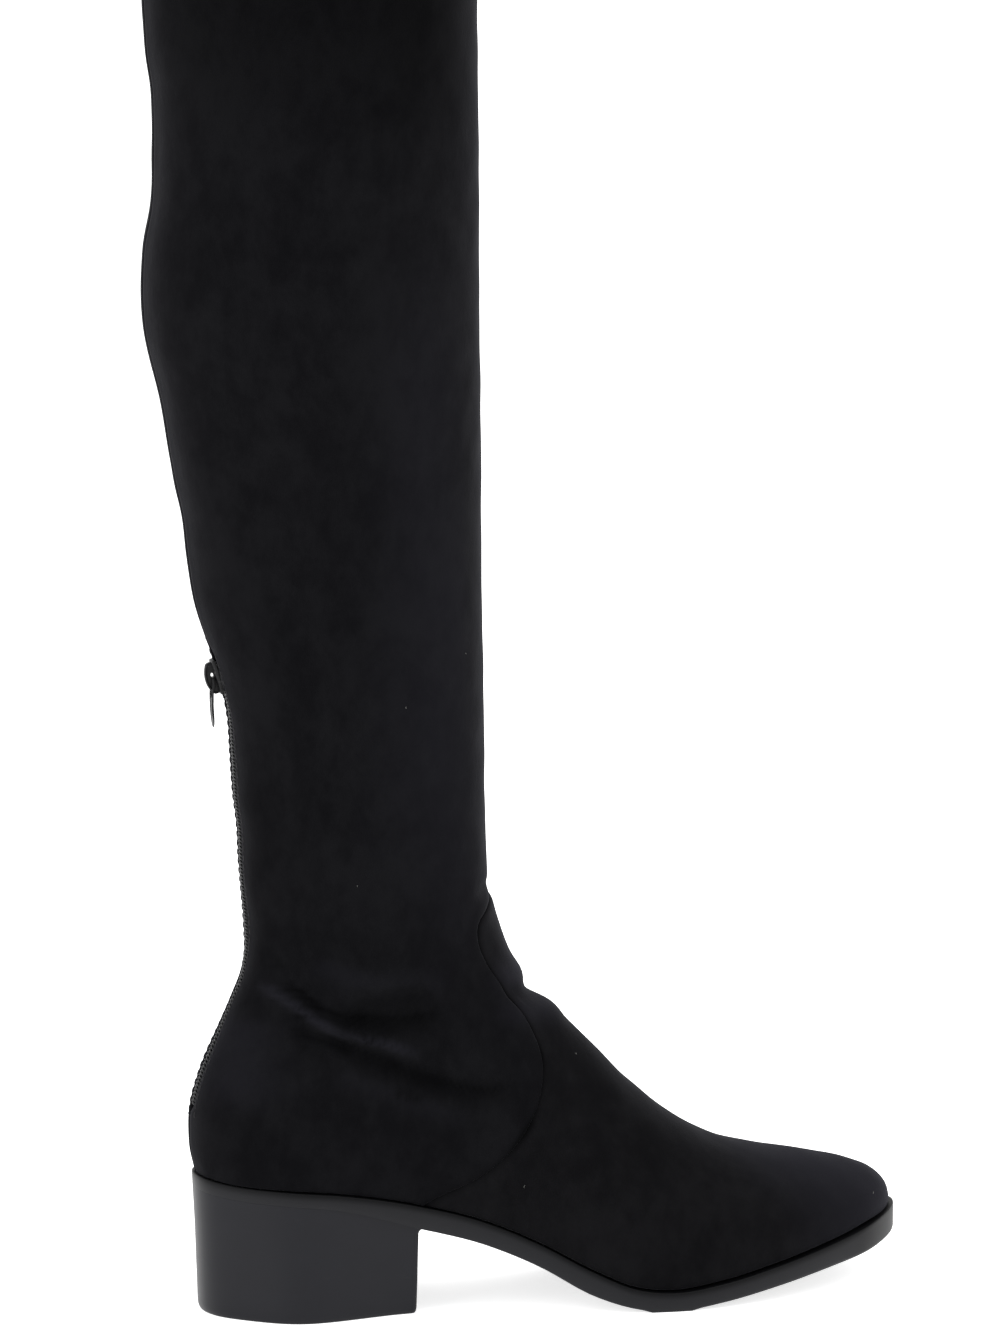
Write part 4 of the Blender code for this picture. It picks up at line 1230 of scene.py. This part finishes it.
def inward(ring, distance):
    """A closed ring drawn in by a distance in plan (one for all points or one each), its heights kept."""
    tangent = np.roll(ring, -1, axis=0) - np.roll(ring, 1, axis=0)
    normal = unit(np.stack([-tangent[:, 1], tangent[:, 0]], -1))
    moved = ring.copy()
    moved[:, :2] += np.asarray(distance).reshape(-1, 1) * normal
    return moved


def at_height(ring, heights):
    placed = ring.copy()
    placed[:, 2] = heights(ring[:, 0])
    return placed


def sole_outline(stations):
    """The lateral and the medial edge of the sole in plan."""
    return [
        np.stack([stations, SWING(stations) + side * sole_half_width(stations, side), 0 * stations], -1)
        for side in (LATERAL, MEDIAL)
    ]


def sole_ring(steps=110):
    stations = SOLE_LENGTH * (1 - np.cos(math.pi * np.arange(steps + 1) / steps)) / 2
    lateral, medial = sole_outline(stations)
    return np.concatenate([lateral, medial[-2:0:-1]])


def leaning(ring):
    """The same ring with its back drawn out, the more the higher it is."""
    ring = ring.copy()
    ring[:, 0] -= HEEL_LEAN * ring[:, 2] * ease(22, 0, ring[:, 0])
    return ring


def make_outsole():
    """The sole: an edge that is upright at the top and rounds in a little below; beside the upper and round
    the toe it is rougher and carries painted shade.
    """
    edge = sole_ring()
    edge = inward(edge, 0.9 * at_toe(edge[:, 0]))
    free = ease(HEEL_BREAST - 2, HEEL_BREAST + 6, edge[:, 0])  # 0 where the heel is fixed under the sole
    rings, dullness_and_painted_shade = [], []
    # the third number is how much painted shade, with a little roughness, the ring carries: shade painted on
    # the top of the edge under the upper
    for draw_in, drop, dullness_and_shade_amount in (
        (3.2, 0.0, 0.7), (0.80, 0.02, 0.8), (0.36, 0.12, 0.9), (0.10, 0.40, 0.9), (0.0, 0.9, 0.8),
        (0.0, 1.8, 0.5), (0.0, 2.7, 0.2),
    ):
        rings.append(at_height(inward(edge, draw_in), lambda x, drop=drop: SEAT(x) - drop))
        dullness_and_painted_shade.append(dullness_and_shade_amount + 0 * free)
    for draw_in, rise in ((0.0, 1.5), (0.14, 0.9), (0.34, 0.42), (0.62, 0.12), (1.1, 0.0)):
        ring = at_height(inward(edge, draw_in * (0.04 + 0.96 * free)), sole_bottom)
        ring[:, 2] += rise * (0.04 + 0.96 * free)
        rings.append(ring)
    rings.append(at_height(inward(edge, 5.0), sole_bottom))
    recess = at_height(inward(edge, 5.3), sole_bottom)
    recess[:, 2] += 0.7 * free
    rings.append(recess)
    dullness_and_painted_shade += [0 * free] * (len(rings) - len(dullness_and_painted_shade))
    # painted shade on the toe's edge, over its reflection
    dullness_and_painted_shade = [np.maximum(row, 0.9 * ease(228, 250, edge[:, 0])) for row in dullness_and_painted_shade]
    made = slab("outsole_moulding", [leaning(ring) for ring in rings], SOLE, painted_light_and_tone=np.concatenate(dullness_and_painted_shade))
    return ride_on(made, "boot", "sole", "outsole")


RIB = [(-1.0, 0.9), (-0.75, 0.12), (-0.55, 0.0), (0.55, 0.0), (0.75, 0.12), (1.0, 0.9)]  # along, up
RIB_PITCH = 3.4
RIB_BOW = 5.0


def make_tread():
    """Fine ribs across the forefoot, inside the sole's rim."""
    parts = []
    for station in np.arange(104.0, 246.0, RIB_PITCH):
        half = [float(sole_half_width(station, side)) - 6.4 for side in (LATERAL, MEDIAL)]
        middle = float(SWING(station))
        y = np.linspace(middle - half[0], middle + half[1], 15)
        x = station + RIB_BOW * (1 - ((y - middle) / max(half)) ** 2) - RIB_BOW / 2
        route = np.stack([x, y, sole_bottom(x)], -1)
        parts.append(capped([[point + [ahead, 0, up] for ahead, up in RIB] for point in route]))
    return ride_on(gather("forefoot_tread", parts, TREAD, sharp=35), "boot", "sole")


def resampled(path, count):
    """The same path with its points moved to even steps."""
    reach = lengths_along(path)
    return points_at(path, reach, np.linspace(0, reach[-1], count))


HEEL_CORNER = 1.3  # radius of the breast's two corners


def heel_outline(draw_in, share, ahead=0.0, steps=34):
    """The heel's outline: round at the back, straight sides, flat breast with soft corners."""
    stations = HEEL_BREAST * (1 - np.cos(0.5 * math.pi * np.arange(steps + 1) / steps))
    lateral, medial = sole_outline(stations)
    breast_half = HEEL_BREAST_HALF[0] * (1 - share) + HEEL_BREAST_HALF[1] * share
    sides = []
    for edge in (lateral, medial):
        narrowing = (1 - breast_half / abs(edge[-1, 1])) * ease(30, HEEL_BREAST, stations)
        flare = HEEL_FLARE * share * ease(5, 30, stations)
        width = 1 + flare * (1 - ease(30, HEEL_BREAST, stations)) - narrowing
        sides.append(edge * np.stack([np.ones_like(width), width, width], -1))
    front = HEEL_BREAST + ahead - HEEL_CORNER
    a = np.linspace(0, math.pi / 2, 6)
    turned = []
    for edge, side in zip(sides, (LATERAL, MEDIAL)):
        ring = inward(np.concatenate([sides[0], sides[1][:0:-1]]), draw_in)
        own = ring[: steps + 1] if side == LATERAL else np.concatenate([ring[:1], ring[:steps:-1]])
        y = np.interp(front, edge[:, 0], edge[:, 1]) - side * draw_in
        own = resampled(np.concatenate([own[own[:, 0] < front - 1.2], [[front - 0.3, y, 0]]]), steps)
        arc = [front + HEEL_CORNER * np.sin(a), y - side * HEEL_CORNER * (1 - np.cos(a)), 0 * a]
        turned.append(np.concatenate([own, np.stack(arc, -1)]))
    lateral, medial = turned
    across = np.linspace(lateral[-1], medial[-1], 9)[1:-1]
    return np.concatenate([lateral, across, medial[:0:-1]])


def make_heel():
    """The block heel: nearly upright sides, a small hollow under the sole in front, a softened foot."""
    rings = []
    for drop, draw_in, ahead in (
        (0.0, 0.04, 2.6), (0.05, 0.0, 2.3), (0.4, 0.0, 1.4), (1.1, 0.0, 0.62), (1.8, 0.0, 0.22),
        (2.8, 0.02, 0.0), (8.0, 0.10, 0.0), (16.0, 0.18, 0.0), (26.0, 0.12, 0.0),
    ):
        share = drop / 42.0
        ring = heel_outline(draw_in, share, ahead)
        ring[:, 2] = sole_bottom(ring[:, 0]) - 0.02 - drop * np.clip(sole_bottom(ring[:, 0]) / 45.0, 0.8, 1)
        rings.append(ring)
    for share, draw_in, height in (
        (0.93, 0.04, 3.0), (0.965, 0.12, 1.7), (0.985, 0.34, 0.8), (0.995, 0.66, 0.28), (1.0, 1.25, 0.0),
    ):
        ring = heel_outline(draw_in, share, -0.8 * draw_in)
        ring[:, 2] = height
        rings.append(ring)
    made = slab("heel_moulding", [leaning(ring) for ring in rings], HEEL)
    return ride_on(made, "boot", "heel", "heel_block")


def make_sock():
    """The sock over the insole: crowned edges and a shallow seat for the foot."""
    turn = np.linspace(0, 2 * math.pi, 161)[:-1]
    edge = skin(np.zeros_like(turn), turn)
    tops = []
    for draw_in, drop in ((0.0, 0.9), (0.12, 0.45), (0.45, 0.12), (1.0, 0.0), (4.0, 0.06)):
        ring = inward(edge, FEATHER_TUCK + LINING_WALL[1] + 0.5 + draw_in)
        tops.append(at_height(ring, lambda x: SEAT(x) + SEAT_GAP + INSOLE - drop))
    under = at_height(tops[0], lambda x: SEAT(x) + SEAT_GAP)
    rings = [*tops[::-1], under]
    return ride_on(slab("sock", rings, SOCK), "boot", "sock_lining", "insole")


# ---------------------------------------------------------------- the zip

TAPE_OUT, TAPE_IN = -1.12, -1.52  # the tape's two faces, from the back line
TOOTH_PITCH = 1.3
TOOTH_RADIUS = 0.34
THREAD_APART = 1.75  # the threads that hold the coil: how far from its middle, and how deep
THREAD_DEPTH = -0.62
TOOTH = [
    # y, out by, up: one loop of the coil, from its heel over to the middle
    (2.45, -0.85, -0.10), (2.62, -0.45, -0.05), (2.35, -0.12, 0.0), (1.4, 0.0, 0.08), (0.4, 0.0, 0.12),
    (-0.35, -0.06, 0.14), (-0.62, -0.32, 0.12),
]


def back_frame(height):
    """A point on the back line with the directions out of the boot and up along it."""
    step = 0.5
    slope = (BACK(height + step) - BACK(height - step)) / (2 * step)
    up = np.array([slope, 0, 1]) / math.hypot(slope, 1)
    return np.array([float(BACK(height)), 0, height]), np.array([-up[2], 0, up[0]]), up


def back_radius(height):
    """How round the back is from side to side."""
    half_depth = (SHIN(max(height, ANKLE_FRONT[1])) - BACK(height)) / 2
    return float(LEG_WIDTH(height) ** 2 / half_depth)


def on_back(height, y, out_by):
    """A point beside the back line: y across the boot, out_by along the outward direction."""
    origin, out, _ = back_frame(height)
    out_by += BACK_FULL(height) - ZIP_SUNK
    return origin + out * (out_by - y * y / (2 * back_radius(height))) + np.array([0, y, 0])


def make_tape():
    """The tape behind the slot, with a bead down each side of the chain."""
    heights = np.linspace(ZIP_FOOT - 6, ZIP_HEAD + 6, 110)
    y = np.linspace(-TAPE_WIDTH / 2, TAPE_WIDTH / 2, 17)
    grids = []
    for depth in (TAPE_OUT, TAPE_IN):
        bead = 0.18 * bell(np.abs(y) - CHAIN_WIDTH / 2, 0.1, 0.35) * (depth == TAPE_OUT)
        grids.append(np.array([[on_back(z, v, depth + b) for v, b in zip(y, bead)] for z in heights]))
    return ride_on(sheet_solid("zip_tape", *grids, TAPE), "boot", "zip_tape", "zip_chain")


def make_coil():
    """The nylon coil: loops from both sides that lock in the middle, a cord of thread down each side."""
    parts = []
    count = int((ZIP_HEAD - ZIP_FOOT - 3.6) / TOOTH_PITCH)
    for side in (LATERAL, MEDIAL):
        for k in range(count):
            z = ZIP_FOOT + 0.6 + (k + (0.5 if side == MEDIAL else 0)) * TOOTH_PITCH
            parts.append(tube([on_back(z + up, side * y, out_by) for y, out_by, up in TOOTH], TOOTH_RADIUS))
    heights = np.linspace(ZIP_FOOT + 2, ZIP_HEAD - 2, 70)
    for y in (-THREAD_APART, THREAD_APART):
        parts.append(tube([on_back(z, y, THREAD_DEPTH) for z in heights], TOOTH_RADIUS, sides=7))
    return ride_on(gather("zip_coil", parts, NYLON), "boot", "zip_tape", "zip_chain")


PIN_OUT = PLATE_FLOOR + SLIDER_PLATE + SEAT_GAP + PIN_DIAMETER / 2
BRIDGE_FLOOR = PIN_OUT + PIN_DIAMETER / 2 + SEAT_GAP


def slider_outline(half_length, half_width):
    """The slider seen from behind: wide shoulders at its head, drawn in to a narrower tail."""
    rows = (  # share of the half width, height
        (0.62, -half_length), (0.74, -half_length + 0.35), (0.78, -1.6), (0.92, 0.6), (1.0, 2.4),
        (0.97, half_length - 1.0), (0.82, half_length - 0.2), (0.6, half_length),
    )
    smooth = along([(half_width * share, height) for share, height in rows])(np.linspace(0, 1, 22))
    return np.concatenate([smooth, smooth[::-1] * [-1, 1]])


def bridge_web(place, arch, half_width=0.75, centre=(PIN_OUT - 0.05, 1.5), radii=(0.5, 0.85)):
    """The web that fills the bridge, as a band of quads round a hole over the tab's pin."""
    rim = np.concatenate([arch, np.linspace(arch[-1], arch[0], 14)[1:-1]])
    away = rim - centre
    turn = np.arctan2(away[:, 1] / radii[1], away[:, 0] / radii[0])
    hole = np.array(centre) + np.stack([radii[0] * np.cos(turn), radii[1] * np.sin(turn)], -1)
    loops = [(rim, -half_width), (hole, -half_width), (hole, half_width), (rim, half_width)]
    return looped([[place(y, out_by, up_by) for out_by, up_by in ring] for ring, y in loops])


def make_slider():
    """The zip's slider: a domed plate with turned-down sides and an arched bridge over the tab's pin."""
    origin, out, up = back_frame(SLIDER_HEIGHT)
    half_length, half_width = SLIDER_LENGTH / 2, SLIDER_WIDTH / 2

    def place(y, rise, height):
        return origin + out * rise + up * height + np.array([0, y, 0])

    outline = slider_outline(half_length, half_width)
    outline[:, 1] *= np.where(outline[:, 1] > 0, 1.3, 1.14)
    top = PLATE_FLOOR + SLIDER_PLATE
    rings = []
    for scale, rise in (
        (0.90, PLATE_FLOOR - 0.02), (1.0, PLATE_FLOOR + 0.14), (1.0, top - 0.5), (0.965, top - 0.2),
        (0.88, top - 0.03), (0.55, top + 0.06),
    ):
        rings.append([place(y * scale, rise, z * (1 - (1 - scale) * 0.5)) for y, z in outline])
    parts = [capped(rings)]
    tail, head, half_bridge = half_length - 0.5, half_length + 0.5, 1.1
    arch = along([(top - 0.4, -tail), (BRIDGE_FLOOR - 0.1, -tail + 0.05), (BRIDGE_FLOOR + 0.4, -tail + 0.75),
                  (BRIDGE_FLOOR + 0.5, head - 1.4), (BRIDGE_FLOOR - 0.1, head - 0.3),
                  (top - 0.4, head)])(np.linspace(0, 1, 33))
    ahead = unit(np.gradient(arch, axis=0))
    section = [
        (-half_bridge, 0.0), (-half_bridge + 0.25, 0.42), (half_bridge - 0.25, 0.42), (half_bridge, 0.0),
        (half_bridge - 0.2, -0.42), (-half_bridge + 0.2, -0.42),
    ]
    parts.append(capped([
        [place(y, rise + up_by * t, height - out_by * t) for y, t in section]
        for (rise, height), (out_by, up_by) in zip(arch, ahead)
    ]))
    parts.append(bridge_web(place, arch))
    for side in (LATERAL, MEDIAL):
        y = side * (CHAIN_WIDTH / 2 + SEAT_GAP + 0.3)
        path = [place(y * 0.93, 0.35, -half_length + 1.2), place(y, 0.2, -1.0), place(y * 1.02, 0.1, 1.6),
                place(y, 0.3, half_length - 1.2)]
        parts.append(tube(along(path)(np.linspace(0, 1, 12)), 0.45, sides=8))
    made = gather("zip_slider_body", parts, LACQUER, sharp=40)
    return ride_on(made, "boot", "zip_metal", "zip_slider")


def make_tab():
    """The pull tab hangs from its own pin: two rails, a waisted plate, a raised rim and a rounded tip."""
    origin, out, _ = back_frame(SLIDER_HEIGHT)
    pin = origin + out * PIN_OUT
    half = TAB_WIDTH / 2
    window_half = half - 1.15
    hole = along([(0, -0.5), (window_half, -0.7), (window_half, -3.0), (window_half, -TAB_WINDOW + 0.9),
                  (window_half * 0.6, -TAB_WINDOW + 0.1), (0, -TAB_WINDOW)])(np.linspace(0, 1, 24))
    rim = along([
        (0, 0.58), (half - 0.35, 0.5), (half, -0.2), (half, -4.0), (half * 0.98, -7.2), (half * 0.80, -9.8),
        (half * 0.78, -12.2), (half * 0.90, -14.5), (half * 0.78, -16.0), (half * 0.42, -16.9),
        (0, 0.9 - TAB_LENGTH),
    ])(np.linspace(0, 1, 24))
    hole_ring = np.concatenate([hole, hole[-2:0:-1] * [-1, 1]])
    rim_ring = np.concatenate([rim, rim[-2:0:-1] * [-1, 1]])
    t = PIN_DIAMETER / 2

    def place(ring, depth):
        z = ring[:, 1]
        thin = 1 - 0.42 * ease(-1.2, -4.5, z) - 0.34 * ease(-12.0, -17.5, z)
        bow = -0.5 * ease(-1.0, -5.0, z) * ease(-18.0, -8.0, z)
        return pin + np.stack([depth * thin + bow, ring[:, 0], z], -1)

    def drawn(ring, amount):
        other = hole_ring if ring is rim_ring else rim_ring
        gap = other - ring
        return ring + gap / np.maximum(np.linalg.norm(gap, axis=1, keepdims=True), 1e-6) * amount

    back = [(rim_ring, 0.0, 0.55), (rim_ring, 0.18, 1.0), (rim_ring, 0.62, 1.0), (hole_ring, 0.2, 0.8),
            (hole_ring, 0.0, 0.5)]  # ring, how far it is drawn in, share of half the plate's thickness
    loops = [place(drawn(*row[:2]), -t * row[2]) for row in back]
    loops += [place(drawn(*row[:2]), t * row[2]) for row in back[::-1]]
    made = mesh_object("zip_tab", *looped(loops), LACQUER, sharp=50)
    return ride_on(made, "pull_tab", "zip_metal", "zip_pull_tab")


# ---------------------------------------------------------------- lint


LINT_SPOTS = [
    # station, height
    (66.9, 219.4), (50.6, 156.2), (133.1, 89.7), (111.1, 46.4), (90.5, 236.9), (70.1, 464.3), (245.2, 31.3),
]


def nearest_place(station, height, side):
    """Level and turn of the place on one side of the boot that is nearest to a station and height."""
    level = 1 + (height - ANKLE_BACK) / (BOOT_HEIGHT - ANKLE_BACK) if height > 140 else 0.5
    levels = np.linspace(max(level - 0.6, 0.02), min(level + 0.2, 1.99), 160)
    levels, turns = np.meshgrid(levels, np.linspace(0.05, 3.09, 160))
    points = skin(levels, -side * turns)
    gap = (points[..., 0] - station) ** 2 + (points[..., 2] - height) ** 2
    best = np.unravel_index(np.argmin(gap), gap.shape)
    return levels[best], -side * turns[best]


def make_lint():
    """A few pale fibres caught in the suede."""
    rng = np.random.default_rng(5)
    inner_spots = [(station + 9, height + 31) for station, height in LINT_SPOTS[:5]]
    parts = []
    for side, spots in ((LATERAL, LINT_SPOTS), (MEDIAL, inner_spots)):
        for station, height in spots:
            level, turn = nearest_place(station, height, side)
            (point,), (out,) = on_suede(np.array([level]), np.array([turn]), 0.5)
            way = unit(np.cross(out, rng.normal(size=3)))
            bend = np.cross(out, way)
            t = np.linspace(-1, 1, 7)[:, None]
            size = rng.uniform(0.25, 0.55)
            parts.append(tube(point + way * t * size + bend * t**2 * size * 0.5, 0.07, sides=5))
    return ride_on(gather("lint", parts, LINT), "boot", "suede")


for make in (
    make_shaft, make_vamp, make_lining, make_stitching, make_outsole, make_tread, make_heel, make_sock,
    make_tape, make_coil, make_slider, make_tab, make_lint,
):
    make()


# ---------------------------------------------------------------- floor, light and camera


def make_floor():
    """A wide pale sweep, level under the boot."""
    made, tree, shader, place = finish(
        "pale_floor", Roughness=0.9, Specular_IOR_Level=0.1, Emission_Color=(1, 1, 1, 1),
        Emission_Strength=0.7,
    )
    cloud = noise(tree, place, (1 / 600, 1 / 600, 1 / 600), detail=2)
    set_inputs(tree, shader, Base_Color=mixed(tree, cloud, (0.86, 0.86, 0.86), (0.9, 0.9, 0.9)))
    mesh = bpy.data.meshes.new("floor")
    x = np.linspace(-60, 60, 13)
    mesh.from_pydata([(a, b, 0.0) for a in x for b in x], [], grid_faces(13, 13))
    mesh.materials.append(made)
    floor = put_in_scene("floor", mesh)


def facing(name, data, place, target):
    """A lamp or camera at a place, turned toward its target."""
    made = put_in_scene(name, data)
    made.location = place
    made.rotation_euler = (Vector(target) - Vector(place)).to_track_quat("-Z", "Y").to_euler()
    return made


def softbox(name, place, size, power):
    light = bpy.data.lights.new(name, "AREA")
    light.shape = "RECTANGLE"
    light.size, light.size_y = size
    light.energy = power
    facing(name, light, place, (0.07, 0, 0.25))


VIEW_TARGET = Vector((0.0728, 0.0, 0.2268))
VIEW_WAY = Vector((0.22259, 0.96417, -0.14436))  # from the camera toward the boot
VIEW_DISTANCE = 2.0
LENS = 152.7  # for a sensor 36 mm high


def make_studio():
    """A white room with three softboxes, and the camera."""
    scene = bpy.context.scene
    scene.world = bpy.data.worlds.new("white_room")
    scene.world.use_nodes = True
    background = scene.world.node_tree.nodes["Background"]
    background.inputs["Color"].default_value = (1.0, 1.0, 1.0, 1)
    background.inputs["Strength"].default_value = 1.02
    softbox("softbox_left", (-1.5, -0.9, 0.9), (1.2, 1.8), 18)
    softbox("softbox_right", (1.6, -0.7, 1.1), (1.2, 1.8), 10)
    softbox("softbox_top", (0.2, -0.3, 2.2), (1.6, 1.6), 22)
    scene.view_settings.view_transform = "Standard"
    scene.view_settings.look = "None"
    camera = bpy.data.cameras.new("camera")
    camera.lens = LENS
    camera.sensor_fit = "VERTICAL"
    camera.sensor_height = 36.0
    scene.camera = facing("camera", camera, VIEW_TARGET - VIEW_DISTANCE * VIEW_WAY, VIEW_TARGET)


make_floor()
make_studio()
